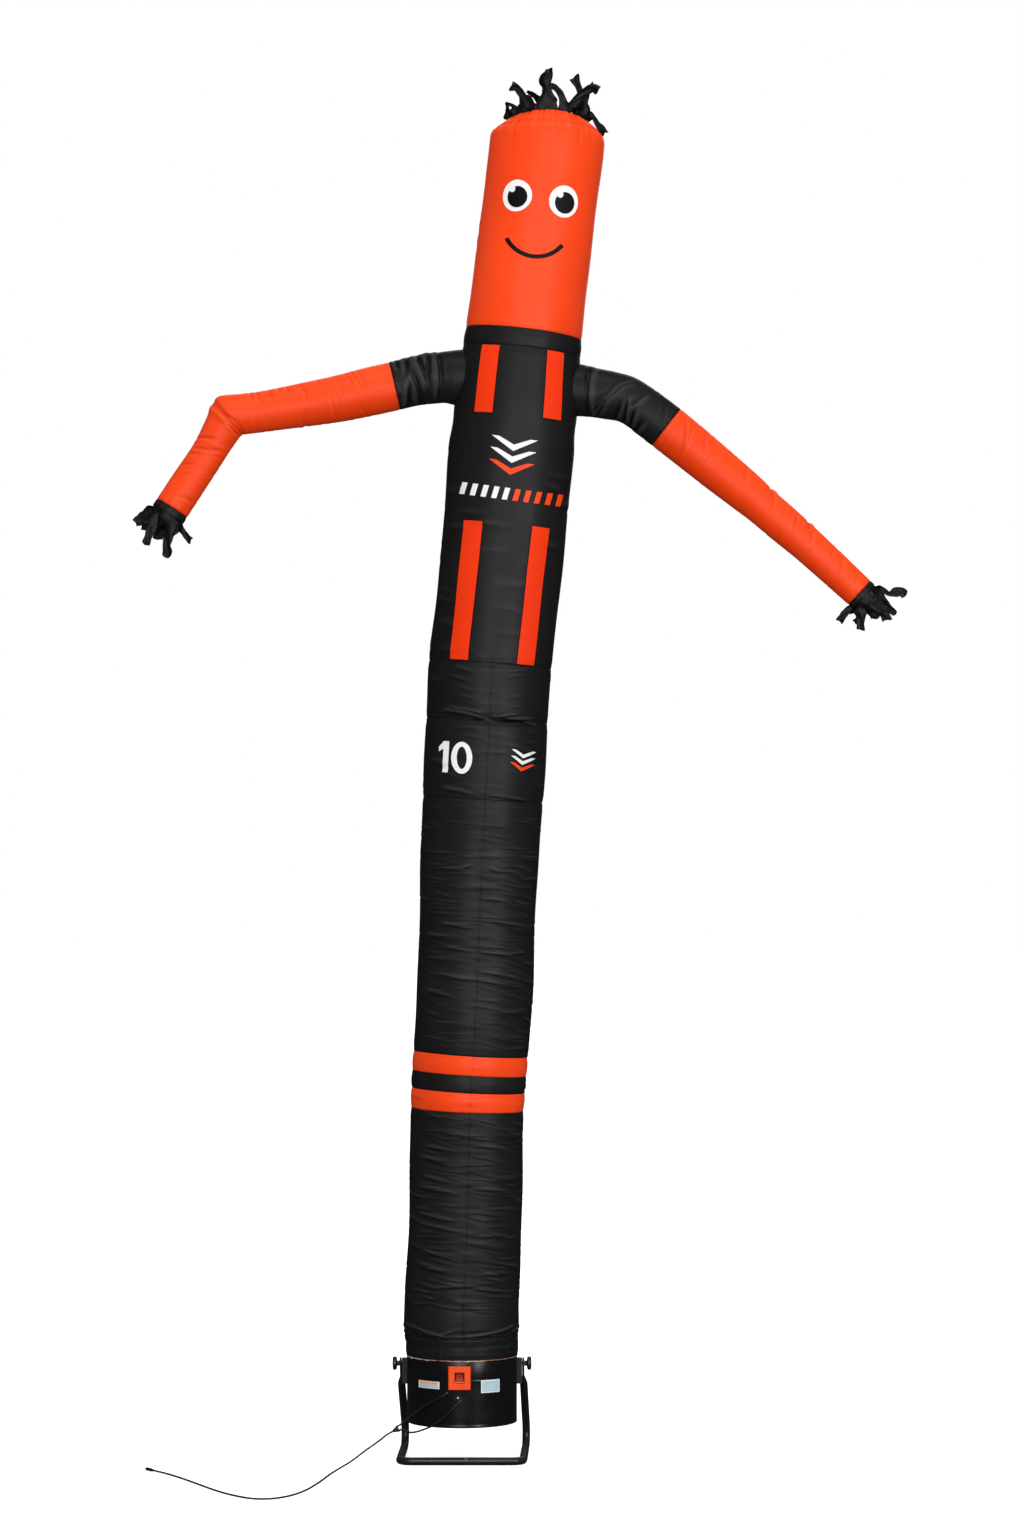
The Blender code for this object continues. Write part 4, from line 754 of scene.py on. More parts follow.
# Main folds, as in the CAD source: a wide furrow pressed into the cloth.
FOLDS = (
    # height, turn, spread, reach, depth
    (1.956, 8.0, 62.0, 0.020, 0.0050),
    (1.956, 180.0, 50.0, 0.020, 0.0040),
    (1.925, 30.0, 30.0, 0.026, 0.0025),
    (1.990, -30.0, 26.0, 0.026, 0.0025),
    (1.810, -60.0, 34.0, 0.050, 0.0022),
    (1.630, 24.0, 40.0, 0.060, 0.0025),
    (1.500, -34.0, 46.0, 0.060, 0.0025),
    (1.240, 150.0, 60.0, 0.060, 0.0030),
    (0.820, -30.0, 44.0, 0.060, 0.0022),
    (0.680, 36.0, 50.0, 0.060, 0.0030),
    (0.540, -150.0, 60.0, 0.060, 0.0030),
    (0.420, -24.0, 34.0, 0.050, 0.0025),
    (0.345, -52.0, 22.0, 0.014, 0.0030),
    (0.345, 20.0, 34.0, 0.014, 0.0030),
    (2.900, 96.0, 30.0, 0.030, 0.0030),
    (2.730, 92.0, 30.0, 0.050, 0.0030),
    (2.730, -94.0, 30.0, 0.050, 0.0030),
)
SEAM_PINCH = 0.0016
SEAM_REACH = 0.022

# Creases that stand out, placed one by one.
MARKED = in_metres((
    # height, turn, half length, climb, sag, half width, depth
    # the drawn-in seam across the waist
    (1962, -19, 27, -15, 1, 3.4, 5.6),
    (1956, 25, 27, -1, -6, 3.4, 5.6),
    (1970, -12, 16, -12, 1, 2.6, 3.6),
    (1963, 17, 15, 8, 1, 2.6, 3.6),
    (1978, -30, 13, -9, 1, 2.6, 2.4),
    (1950, 44, 14, -6, 1, 2.6, 3),
    (1966, -34, 16, -6, 1, 3.5, 2.6),
    (1947.5, 34, 17, -2, 2, 3.5, 2.2),
    (1965, 20, 12, 4, 2, 3, 1.6),
    (1972, -9, 8, -10, 0, 3, 1.4),
    (1972, 12, 7, 10, 0, 3, 1.4),
    (1990, -14, 9, -9, 0, 3, 1.2),
    (2006, -18, 10, -10, 1, 3.2, 1.3),
    (2030, -22, 11, -9, 1, 3.4, 1.2),
    (2056, -28, 13, -10, 1, 3.4, 1.3),
    (2080, -24, 14, -9, 1, 3.6, 1.4),
    (1988, 24, 10, 3, 1, 3, 1.1),
    (2015, 26, 11, 4, 1, 3.2, 1.1),
    (2070, 26, 13, 9, 1, 3.4, 1.3),
    (2086, 30, 14, 8, 1, 3.4, 1.2),
    (2113, -8, 9, -5, 0, 2.8, 1.4),
    (2116, 9, 7, 8, 0, 2.8, 1.2),
    (1925, -16, 15, -5, 1, 3.2, 1.1),
    (1905, -12, 12, -4, 1, 3, 0.9),
    # above the belly seam
    (1760, -24, 20, -10, 1, 3.8, 2.6),
    (1752, 14, 13, -2, 2, 3.2, 1.8),
    (1748, 34, 17, -4, 1, 3.2, 1.6),
    # the middle of the tube
    (1556, -26, 16, -3, 1, 3.4, 1.7),
    (1564, -13, 10, 8, 0, 3.4, 1.6),
    (1560, 14, 10, -6, 1, 3.4, 1.5),
    (1480, 18, 20, -4, 4, 3.6, 1.8),
    (1420, 30, 30, -6, 2, 4, 1.8),
    (1408, -22, 24, -7, 1, 4.2, 2.1),
    (1338, 22, 24, -6, 2, 4, 2.8),
    (1348, -18, 18, -6, 2, 3.8, 2),
    (1342, 46, 16, 2, 0, 3.6, 1.6),
    (1284, 26, 28, -9, 3, 4.2, 2.6),
    (1276, -24, 20, -9, 1, 4, 2.4),
    (1262, 22, 18, -6, 1, 3.6, 1.6),
    (1230, -40, 20, -10, 1, 4, 1.8),
    # the lower tube
    (825, -28, 24, -7, 1, 4, 2.2),
    (833, 26, 22, -4, 1, 3.8, 1.6),
    (792, -34, 24, -12, 2, 4.2, 2.4),
    (745, -34, 18, -9, 1, 4, 2),
    (715, -30, 26, -8, 2, 4.4, 2.6),
    (720, 24, 22, -3, 1, 3.8, 1.5),
    (645, -32, 24, -8, 1, 4.2, 2.2),
    (618, -24, 18, -7, 1, 3.8, 1.9),
    (600, 28, 22, 3, 1, 3.8, 1.4),
    (545, -30, 24, -7, 1, 4.2, 2),
    (506, -32, 26, -8, 1, 4.2, 2.2),
    (500, 34, 24, 4, 2, 4, 1.4),
    (464, -6, 24, 5, 0, 4, 2.2),
    (458, 30, 20, -6, 1, 3.8, 1.4),
))
# The tube is drawn in where its strap is tied: long slanting pleats above it.
TIED = in_metres((
    (350, -58, 16, -14, 1, 3, 4.4),
    (346, -42, 20, -16, 1, 3, 5),
    (342, -28, 16, -10, 1, 2.8, 4),
    (346, -14, 11, 9, 0, 2.6, 2.6),
    (337, -26, 24, -3, 1, 2.6, 3.4),
    (337, 20, 32, 1, 2, 2.6, 4.6),
    (342, 30, 28, 4, 2, 2.6, 4),
    (347, 44, 24, 7, 1, 2.8, 3.4),
    (352, 54, 18, 8, 1, 2.8, 2.6),
    (344, 80, 24, 4, 0, 3.4, 3.4),
    (348, 120, 30, -6, 0, 3.8, 3.6),
    (345, 165, 30, 6, 0, 3.8, 3.8),
    (348, -150, 30, -6, 0, 3.8, 3.6),
    (345, -105, 30, 6, 0, 3.8, 3.6),
))


def small_creases():
    """Creases strewn over the black tube, denser on both sides of its seam."""
    rows = (
        # seed, count, low, high, turns, half length, reach, depth, climb
        (11, 66, 0.40, 0.925, -50.0, -10.0, 24.0, 0.0023, 0.0016, -0.009),
        (12, 56, 0.40, 0.925, 10.0, 56.0, 24.0, 0.0023, 0.0014, -0.009),
        (13, 56, 1.09, 1.60, -54.0, -8.0, 25.0, 0.0023, 0.0015, -0.010),
        (14, 62, 1.09, 1.62, 10.0, 60.0, 25.0, 0.0023, 0.0016, -0.010),
        (24, 16, 1.60, 1.74, -54.0, 60.0, 22.0, 0.0024, 0.0009, -0.006),
        (22, 16, 0.42, 0.92, -50.0, 54.0, 34.0, 0.0070, 0.0010, -0.010),
        (23, 16, 1.10, 1.62, -54.0, 58.0, 34.0, 0.0070, 0.0010, -0.012),
        (15, 70, 0.40, 1.745, 66.0, 178.0, 26.0, 0.0036, 0.0015, -0.010),
        (16, 70, 0.40, 1.745, -176.0, -62.0, 26.0, 0.0036, 0.0015, -0.010),
        (17, 22, 1.76, 1.945, -50.0, 54.0, 18.0, 0.0034, 0.0011, -0.006),
        (18, 30, 1.76, 2.095, 60.0, 300.0, 26.0, 0.0040, 0.0014, -0.006),
        (19, 16, 2.12, 2.60, -70.0, 70.0, 26.0, 0.0075, 0.0011, -0.006),
        (20, 34, 2.12, 2.90, 80.0, 280.0, 28.0, 0.0070, 0.0016, -0.006),
        (21, 16, 3.00, 3.46, 70.0, 290.0, 26.0, 0.0085, 0.0013, -0.006),
    )
    return [crease for row in rows for crease in scatter(*row)]


CREASES = np.concatenate((MARKED, TIED, small_creases()))
TIE_HEIGHT = 0.3345
TIE_TOP = 0.3380
TUBE_MEAN_RADIUS = 0.155


def creased(height, turn):
    """How far the creases alone draw the cloth in, which sets the painted shade in furrows and the
    painted highlight on ridges.
    """
    depth = press(height, turn, CREASES) + 0.35 * crown_gathers(height, turn)
    return depth + 0.6 * seam_up(height, turn, FRONT_SEAM, FRONT_SEAM_TOP, 5)


def pressed_in(height, turn):
    """How far folds, seams and creases draw the cloth in at these places."""
    depth = press(height, turn, CREASES)
    for at, middle, spread, reach, fold in FOLDS:
        depth += fold * bump(turn_between(turn, middle), spread) * bump(height - at, reach)
    for spot, seam in enumerate(SEAMS):
        away = height - seam
        depth += SEAM_PINCH * bump(away, SEAM_REACH) + 0.0011 * bell(away, 0.0022)
        depth += 0.00042 * ripples(turn, 100 + spot, 6, 22, 60) * fading(away, 0.010)
    depth += seam_up(height, turn, FRONT_SEAM, FRONT_SEAM_TOP, 5)
    depth += seam_up(height, turn, BACK_SEAM, CROWN_FOOT, 6)
    gathers = ripples(turn, 31, 8, 18, 52)
    depth += (0.0022 + 0.0006 * gathers) * bell(height - TIE_HEIGHT, 0.0035)
    above = np.exp(-np.clip(height - TIE_TOP, 0.0, 1.0) / 0.014) * (height > TIE_TOP - 0.0005)
    return depth + above * 0.0010 * gathers


def seam_up(height, turn, at, top, seed):
    """A seam that runs up the tube: a narrow groove with short puckers."""
    away = np.radians(turn_between(turn, at)) * TUBE_MEAN_RADIUS
    draw = np.random.RandomState(seed)
    pull = 0.0
    for _ in range(7):
        wave = draw.uniform(0.013, 0.075)
        pull = pull + np.sin(2 * math.pi * height / wave + draw.uniform(0.0, 6.28))
    puckers = 0.00022 * pull * fading(away, 0.024)
    return ramp(top - height, 0.0, 0.003) * (0.0012 * bell(away, 0.0018) + puckers)


def slack(height, turn):
    """The gentle unevenness of blown-up cloth, none of it at the blower."""
    angle = np.radians(turn)
    wave = 0.0009 * (np.sin(3 * angle + 7.0 * height) + np.sin(2 * angle + 23.0 * height))
    wave = wave + 0.0007 * np.sin(5 * angle - 11.0 * height + 1.0)
    return wave * ramp(height, TUBE_BOTTOM, 0.45)


# ---- The upright tube -------------------------------------------------------

CROWN_FOOT = 3.49
CROWN_ARCH = 0.010
STITCH_RING = 3.5310
PLEATS = 42


def crown_gathers(height, turn):
    """Pleats where the crown is drawn in, and the stitched ring across them."""
    depth = 0.0026 * ramp(height, 3.478, 3.548) * (0.5 + 0.5 * ripples(turn, 41, 5, 14, 34))
    draw = np.random.RandomState(44)
    for spot in range(PLEATS):
        at = spot * 360.0 / PLEATS + draw.uniform(-3.4, 3.4)
        start = draw.uniform(3.455, 3.525)
        wide = draw.uniform(0.8, 1.7)
        deep = draw.uniform(0.0020, 0.0052)
        drift = draw.uniform(-30.0, 30.0)
        away = turn_between(turn, at + drift * (RIM_HEIGHT - height)) / wide
        depth = depth + deep * ramp(height, start, start + 0.045) * furrow(away, 0.5, 1.2)
    above = height - STITCH_RING
    depth = depth + 0.0026 * bell(above, 0.0024) - 0.0012 * bell(above - 0.006, 0.0028)
    return depth + 0.0012 * fading(above, 0.012) * ripples(turn, 43, 6, 30, 80)


def tube_frames(height):
    """Middle of the tube and its own axes: upright at the blower, then leaning."""
    height = np.asarray(height, float)

    def middle(level):
        rows = smooth_rows(BODY, level)
        return np.stack((rows[..., 0], rows[..., 1], level), -1)

    travel = middle(height + 0.01) - middle(height - 0.01)
    travel[..., :2] *= ramp(height, TUBE_BOTTOM, 0.42)[..., None]
    return (middle(height), *frames_along(travel))


def tube_radius(height):
    body = smooth_rows(BODY, height)[..., 2]
    crown = smooth_rows(CROWN, height)[..., 0]
    return np.where(height > CROWN[0, 0], crown, body)


def tube_points(height, turn, off=0.0, plain=False):
    """Points of the cloth at these heights and turns, off outwards from it."""
    height, turn = np.broadcast_arrays(np.asarray(height, float), np.asarray(turn, float))
    middle, along, front, across = tube_frames(height)
    angle = np.radians(turn)[..., None]
    outward = front * np.cos(angle) + across * np.sin(angle)
    reach = tube_radius(height) + slack(height, turn)
    if not plain:
        reach = reach - pressed_in(height, turn) - crown_gathers(height, turn)
    step = 0.002
    top = np.minimum(height + step, RIM_HEIGHT)
    run = np.where(height < CROWN[0, 0], 0.0, tube_radius(top) - tube_radius(top - 2 * step))
    size = np.hypot(2 * step, run)
    out, climb = 2 * step / size, -run / size
    arch = CROWN_ARCH * np.cos(2 * np.radians(turn)) * ramp(height, CROWN_FOOT, RIM_HEIGHT)
    rise = (arch + off * climb)[..., None]
    return middle + outward * (reach + off * out)[..., None] + along * rise


SHORT_PANEL = 0.05
BESIDE_SEAM = np.array((0.0, 0.0008, 0.0017, 0.0028, 0.0042, 0.0062))
BESIDE_SEAM_TURNS = (-2.2, -1.3, -0.7, 0.0, 0.7, 1.3, 2.2)


def spread_rows(bottom, top, step):
    """Heights from seam to seam: fine beside the seams, even between them."""
    low, high = bottom + GAP / 2, top - GAP / 2
    if high - low < SHORT_PANEL:
        return np.linspace(low, high, 22)
    near = BESIDE_SEAM
    inner = np.arange(low + near[-1] + step, high - near[-1] - step * 0.5, step)
    return np.concatenate((low + near, inner, high - near[::-1]))


def spread_turns(columns, seams):
    """Turns round the tube, with extra ones on both sides of upright seams."""
    marks = list(np.arange(columns) * 360.0 / columns - 180.0)
    for seam in seams:
        marks = [m for m in marks if abs(turn_between(m, seam)) > 2.6]
        marks += [seam + off for off in BESIDE_SEAM_TURNS]
    return np.array(sorted(turn_between(m, 0.0) for m in marks))


def shell_corners(rows, columns):
    """The wall, row and column of each corner of a double-walled tube's quads."""
    outer, inner = np.arange(2 * rows * (columns + 1)).reshape(2, rows, columns + 1)
    faces = np.concatenate((quads(outer), quads(inner)[:, FLIPPED],
                            quads(np.stack((inner[0], outer[0]))),
                            quads(np.stack((outer[-1], inner[-1])))))
    return np.unravel_index(faces, (2, rows, columns + 1))


FULL_FURROW = 0.0016
FULL_RIDGE = 0.00096


def shell(name, walls, rows, turns, radius, seams, depth, material):
    """A closed cloth tube, its outer and inner wall given as grids of points.

    rows are metres along it and depth is how far creases draw it in.
    """
    columns = len(turns)
    wall, r, c = shell_corners(len(rows), columns)
    faces = (wall * len(rows) + r) * columns + c % columns
    obj = object_from(name + "_cloth", walls, faces, material)
    girth = np.radians(np.append(turns, turns[-1] + turns[1] - turns[0]) - turns[0]) * radius
    # The crease map: shares of painted shade in furrows and of painted highlight on ridges.
    shares = (np.clip(depth / FULL_FURROW, 0.0, 1.0), np.clip(-depth / FULL_RIDGE, 0.0, 1.0))
    lay_cloth_maps(obj, np.stack((girth[c], rows[r]), -1),
                   sewn_map(rows, turns, seams, radius)[r, c % columns],
                   np.stack(shares, -1)[r, c % columns])
    return obj


CLOTH_THICKNESS = 0.0005


def sewn_map(heights, turns, seams, radius):
    """Metres along and from the nearest seam, for a grid of cloth."""
    shape = (len(heights), len(turns))
    best = np.minimum(heights - heights[0], heights[-1] - heights)[:, None] * np.ones(shape)
    run = np.radians(turns) * radius * np.ones(shape)
    for seam in seams:
        away = np.abs(np.radians(turn_between(turns, seam)) * radius) * np.ones(shape)
        run = np.where(away < best, heights[:, None], run)
        best = np.minimum(best, away)
    return np.stack((run, best), -1)


def add_panel(row, materials):
    name, finish, bottom, top, columns, step = row
    seams = [BACK_SEAM, FRONT_SEAM] if top <= FRONT_SEAM_TOP else [BACK_SEAM]
    heights = spread_rows(bottom, top, step)
    if name == "head_panel":
        heights = np.concatenate((heights[heights <= CROWN_FOOT - 0.0005],
                                  np.linspace(CROWN_FOOT, heights[-1], 40)))
    turns = spread_turns(columns, seams)
    height, turn = heights[:, None], turns[None, :]
    walls = [tube_points(height, turn, off) for off in (0.0, -CLOTH_THICKNESS)]
    radius = float(np.mean(tube_radius(heights)))
    obj = shell(name, walls, heights, turns, radius, seams, creased(height, turn),
                materials[finish])
    finish_piece(obj, "cloth_" + finish, name)


# ---- Arms -------------------------------------------------------------------

ARM_COLUMNS = 72
ARM_TURNS = np.arange(ARM_COLUMNS) * 360.0 / ARM_COLUMNS
SLEEVE_STEPS = 76
ARM_STEP = 0.0042
ARM_SEED = 60


def side_rings(rows):
    """Points of every section of a side, each on the mitre of its two legs."""
    middles = rows[:, :3]
    legs = unit(np.diff(middles, axis=0))
    before = np.vstack((legs[:1], legs))
    after = np.vstack((legs, legs[-1:]))
    planes = unit(before + after)
    turn = np.radians(ARM_TURNS)[None, :, None]
    along, front, side = frames_along(after)
    arm = (front[:, None] * np.cos(turn) + side[:, None] * np.sin(turn)) * rows[:, 3, None, None]
    slide = -np.sum(arm * planes[:, None], -1) / np.sum(along * planes, -1)[:, None]
    return middles[:, None] + arm + along[:, None] * slide[..., None]


def along_side(rows, runs):
    """Points of a side's cloth at these distances along its middle."""
    table = np.column_stack((marks_along(rows[:, :3]), side_rings(rows).reshape(len(rows), -1)))
    return smooth_rows(table, runs).reshape(len(runs), ARM_COLUMNS, 3)


def sections(rows, runs):
    """Middle of a side and the direction it runs in, at these distances."""
    table = np.column_stack((marks_along(rows[:, :3]), rows[:, :3]))
    travel = smooth_rows(table, runs + 0.004) - smooth_rows(table, runs - 0.004)
    return smooth_rows(table, runs), unit(travel)


# Creases of the sleeves and arms, by distance along the side's middle.
# On the left a turn of 90 is the top; on the right it is the bottom.
LEFT_CREASES = in_metres((
    # run, turn, half length, climb, sag, half width, depth
    (98, 20, 100, 6, 4, 6, 2.8),
    (124, 46, 60, -10, 2, 5.5, 3.6),
    (143, 30, 70, 14, 4, 6.5, 4),
    (160, -30, 56, 10, 0, 6, 4),
    (178, 52, 44, -8, 0, 5, 3.2),
    (189, -34, 46, -12, 2, 5.5, 3.6),
    (205, 60, 34, 6, 0, 4.5, 2),
    (150, 180, 80, 10, 0, 7, 4),
    (190, 170, 70, -10, 0, 6, 3.4),
    (306, 46, 50, 12, -6, 3.4, 2.2),
    (318, 40, 46, 14, -6, 3.4, 2.6),
    (338, 50, 36, 10, -6, 3.4, 2),
    (420, 60, 26, 6, -4, 3, 1.6),
    (462, 40, 44, 10, -6, 3.4, 2.6),
    (476, 50, 30, 8, -4, 3, 1.8),
    (505, 62, 30, 6, -4, 3, 2),
    (528, 60, 30, 6, -4, 3.2, 2),
    (552, 56, 32, 6, -5, 3.2, 2.2),
    (586, 56, 40, 8, -5, 3.4, 2.4),
    (604, 60, 34, 6, -4, 3.2, 2),
    (640, -60, 40, 8, -4, 3.6, 2.2),
    (678, 0, 150, 0, 0, 4.2, 4.6),
    (690, -20, 60, -16, 0, 3.6, 2.8),
    (664, -30, 50, 14, 0, 3.4, 2.2),
    (470, -120, 60, 10, 4, 5, 2.2),
    (380, 150, 60, -10, 4, 5, 2.2),
    (754, 40, 56, 16, 0, 4, 3),
    (778, 10, 60, 18, 2, 4, 3.2),
    (806, 44, 30, 10, 0, 3.4, 1.8),
    (838, 40, 34, 12, 0, 3.4, 2.2),
    (862, 20, 24, 10, 0, 3, 1.2),
    (800, 180, 60, 10, 0, 5, 2.2),
    (918, -30, 40, 4, 0, 3, 1.4),
))
RIGHT_CREASES = in_metres((
    (80, 0, 110, 4, 4, 6, 3),
    (132, 2, 66, -50, 0, 4.2, 4.6),
    (145, 6, 62, -50, 0, 3.4, 3.4),
    (122, 34, 40, -20, 0, 4, 3),
    (172, 40, 50, -12, 2, 5.5, 3.6),
    (198, 34, 46, 12, 0, 5, 4.2),
    (214, -6, 36, -14, 0, 4.6, 3),
    (228, 44, 34, 6, 0, 4.6, 3.6),
    (254, 60, 40, -6, 0, 5, 2.6),
    (160, 180, 80, 12, 0, 7, 4),
    (230, 170, 70, -12, 0, 6, 3.4),
    (372, -10, 54, 30, 6, 4, 3),
    (386, -4, 50, 16, 4, 3.4, 2.2),
    (424, -30, 40, 20, 0, 3.6, 2.2),
    (560, -44, 34, 12, 0, 3.6, 2),
    (640, -76, 44, 14, 0, 6, 3.6),
    (662, -34, 34, 14, 0, 3.6, 2.4),
    (700, -40, 30, 10, 0, 3.2, 1.8),
    (742, -34, 40, 14, 0, 3.4, 2.2),
    (772, -76, 44, 12, 0, 5.5, 3.2),
    (800, -30, 32, 12, 0, 3.4, 2.2),
    (868, -40, 34, 12, 0, 3.4, 1.8),
    (912, -20, 44, 16, 4, 3.6, 2.2),
    (600, 150, 60, 10, 0, 5, 2.4),
    (820, 170, 60, 10, 0, 5, 2.2),
))


def side_depth(runs, creases, seams):
    """How far creases and seams draw a side's cloth in."""
    run, turn = runs[:, None], ARM_TURNS[None, :]
    depth = 1.4 * press(run, turn, creases)
    depth += press(run, turn, scatter(ARM_SEED, 90, seams[0] - 0.1, seams[-1] + 0.1,
                                      -180.0, 180.0, 46.0, 0.0034, 0.0014, 0.008))
    for spot, seam in enumerate(seams):
        puckers = ripples(turn, ARM_SEED + 7 * spot, 5, 10, 26)
        depth += 0.0012 * bell(run - seam, 0.0030) + 0.0006 * puckers * fading(run - seam, 0.012)
    return depth


def side_grid(rows, runs, depth):
    """Points of a side's cloth, drawn in by these depths."""
    points = along_side(rows, runs)
    middle, travel = sections(rows, runs)
    outward = points - middle[:, None]
    outward -= travel[:, None] * np.sum(outward * travel[:, None], -1, keepdims=True)
    return points - unit(outward) * depth[..., None]


def meet_body(rows):
    """How far along each column of a sleeve its line comes out of the tube."""
    marks = marks_along(rows[:, :3])
    low = np.full(ARM_COLUMNS, marks[1] - 0.03)
    high = np.full(ARM_COLUMNS, marks[3])
    each = np.arange(ARM_COLUMNS)
    for _ in range(22):
        half = (low + high) / 2
        inside = outside_by(along_side(rows, half)[each, each]) < 0.0
        low = np.where(inside, half, low)
        high = np.where(inside, high, half)
    return (low + high) / 2


def outside_by(points):
    """How far these points lie outside the tube's cloth."""
    height = points[:, 2].copy()
    for _ in range(5):
        middle, along = tube_frames(height)[:2]
        height += np.sum((points - middle) * along, -1)
    middle, _, front, across = tube_frames(height)
    right, forward = (np.sum((points - middle) * axis, -1) for axis in (across, front))
    turn = np.degrees(np.arctan2(right, forward))
    return np.hypot(right, forward) - tube_radius(height) - slack(height, turn)


SIDE_PIECES = (
    # name, finish, first and last row on the left, on the right
    ("sleeve", "black", 0, 5, 0, 7),
    ("arm", "orange", 5, 17, 7, 15),
    ("cuff", "black", 17, 18, 15, 16),
)
SLEEVE_INSET = 0.003


def add_side(side, rows, creases, column, materials):
    """Sleeve, arm and cuff of one side, on one run of creased cloth."""
    marks = marks_along(rows[:, :3])
    seams = [marks[piece[column]] for piece in SIDE_PIECES[1:]]
    for piece in SIDE_PIECES:
        name, finish = piece[:2]
        first, last = marks[piece[column]], marks[piece[column + 1]]
        if name == "sleeve":
            starts = meet_body(rows) - SLEEVE_INSET
            runs = np.linspace(starts.min(), last - GAP / 2, SLEEVE_STEPS)
        else:
            steps = max(10, int((last - first) / ARM_STEP))
            runs = np.linspace(first + GAP / 2, last - GAP / 2, steps)
        depth = side_depth(runs, creases, seams)
        walls = [side_grid(rows, runs, depth + inset) for inset in (0.0, CLOTH_THICKNESS)]
        if name == "sleeve":
            walls = [slide_roots(wall, runs, starts) for wall in walls]
        radius = float(np.mean(rows[piece[column]:piece[column + 1] + 1, 3]))
        obj = shell(name + "_" + side, walls, runs, ARM_TURNS, radius, [], depth,
                    materials[finish])
        finish_piece(obj, "cloth_" + finish, name + "_" + side)


def slide_roots(grid, runs, starts):
    """Move each column's rows so that the first lies where the column starts."""
    share = (runs - runs[0]) / (runs[-1] - runs[0])
    wanted = starts + (runs[-1] - starts) * share[:, None]
    found = np.empty_like(grid)
    for column, axis in np.ndindex(grid.shape[1:]):
        found[:, column, axis] = np.interp(wanted[:, column], runs, grid[:, column, axis])
    return found


# ---- Pieces laid on the tube ------------------------------------------------

def inside(points, loops):
    """Which of these flat points lie within the loops, holes left out."""
    found = np.zeros(len(points), bool)
    px, py = points[:, 0:1], points[:, 1:2]
    for loop in loops:
        x0, y0 = loop[:, 0], loop[:, 1]
        x1, y1 = np.roll(x0, -1), np.roll(y0, -1)
        rise = np.where(y1 == y0, 1e-12, y1 - y0)
        crossing = ((y0 > py) != (y1 > py)) & (px < (x1 - x0) * (py - y0) / rise + x0)
        found ^= crossing.sum(1) % 2 == 1
    return found


def walk(corners, step):
    """A closed outline with points no further apart than a step."""
    corners = np.asarray(corners, float)
    found = []
    for a, b in zip(corners, np.roll(corners, -1, 0)):
        count = max(1, int(math.ceil(np.linalg.norm(b - a) / step)))
        found += [a + (b - a) * i / count for i in range(count)]
    return np.array(found)


def oval(x, y, half_wide, half_tall, sides=40):
    angle = np.arange(sides) * 2 * math.pi / sides
    return np.stack((x + half_wide * np.cos(angle), y + half_tall * np.sin(angle)), -1)


def flat_grid(xs, ys):
    return np.stack(np.meshgrid(xs, ys), -1).reshape(-1, 2)


def fill(loops, step):
    """Triangles that fill the loops evenly: points, corners and edge distances."""
    outline = np.concatenate(loops)
    following = np.concatenate([np.roll(loop, -1, 0) for loop in loops])
    edges = []
    for loop in loops:
        first = len(edges)
        edges += [(first + i, first + (i + 1) % len(loop)) for i in range(len(loop))]
    low, high = outline.min(0), outline.max(0)
    grid = flat_grid(*(np.arange(low[i] + step / 2, high[i], step) for i in (0, 1)))
    grid = grid[inside(grid, loops)]
    if len(grid):
        away = np.linalg.norm(grid[:, None] - outline[None], axis=-1).min(1)
        grid = grid[away > 0.45 * step]
    points = np.concatenate((outline, grid))
    found = delaunay_2d_cdt([Vector(p) for p in points], edges, [], 0, 1e-7)
    points = np.array([tuple(v) for v in found[0]])
    corners = np.array([face for face in found[2] if len(face) == 3])
    corners = corners[inside(points[corners].mean(1), loops)]
    run = following - outline
    square = np.maximum(np.sum(run * run, -1), 1e-12)
    share = np.clip(np.sum((points[:, None] - outline) * run, -1) / square, 0.0, 1.0)
    away = np.linalg.norm(points[:, None] - (outline + run * share[..., None]), axis=-1)
    best = away.argmin(1)
    lengths = np.linalg.norm(run, axis=1)
    each = np.arange(len(points))
    along = (np.cumsum(lengths) - lengths)[best] + lengths[best] * share[each, best]
    return points, corners, np.stack((along, away.min(1)), -1)


PATCH_STEP = 0.0050
HEM_WIDTH = 0.0035
HEM_SCALE = 1.75


def add_patch(name, loops, drape, heights, material, slot, nodes=(), step=PATCH_STEP):
    """Cloth or print cut to these loops and draped between two heights off the tube."""
    flat, corners, edge = fill([walk(loop, step) for loop in loops], step)
    count = len(flat)
    sides = np.concatenate((corners[:, (0, 1)], corners[:, (1, 2)], corners[:, (2, 0)]))
    a, b = sides[~np.isin(sides @ (count, 1), sides @ (1, count))].T
    rim = np.stack((b, a, a + count, b + count), -1)
    faces = [*corners, *(corners[:, ::-1] + count), *rim]
    low, high = heights
    obj = object_from(name, [drape(flat, high), drape(flat, low)], faces, material)
    spots = corner_points(obj) % count
    edge[:, 1] = np.where(edge[:, 1] < HEM_WIDTH, edge[:, 1] * HEM_SCALE, NO_SEAM)
    lay_cloth_maps(obj, flat[spots], edge[spots])
    obj.data.set_sharp_from_angle(angle=math.radians(50))
    return finish_piece(obj, slot, *nodes)


CHEST_RADIUS = 0.163


def on_chest(flat, off):
    """Drape flat points, metres round the chest and up, on the tube."""
    return tube_points(flat[:, 1], np.degrees(flat[:, 0] / CHEST_RADIUS), off)


def onto(turn, height):
    """Drape flat points, metres across and up, round this place on the tube."""
    def drape(flat, off):
        spot = np.clip(flat[:, 0] / tube_radius(height), -1.0, 1.0)
        turns = turn + np.degrees(np.arcsin(spot))
        return tube_points(height + flat[:, 1], turns, off)
    return drape


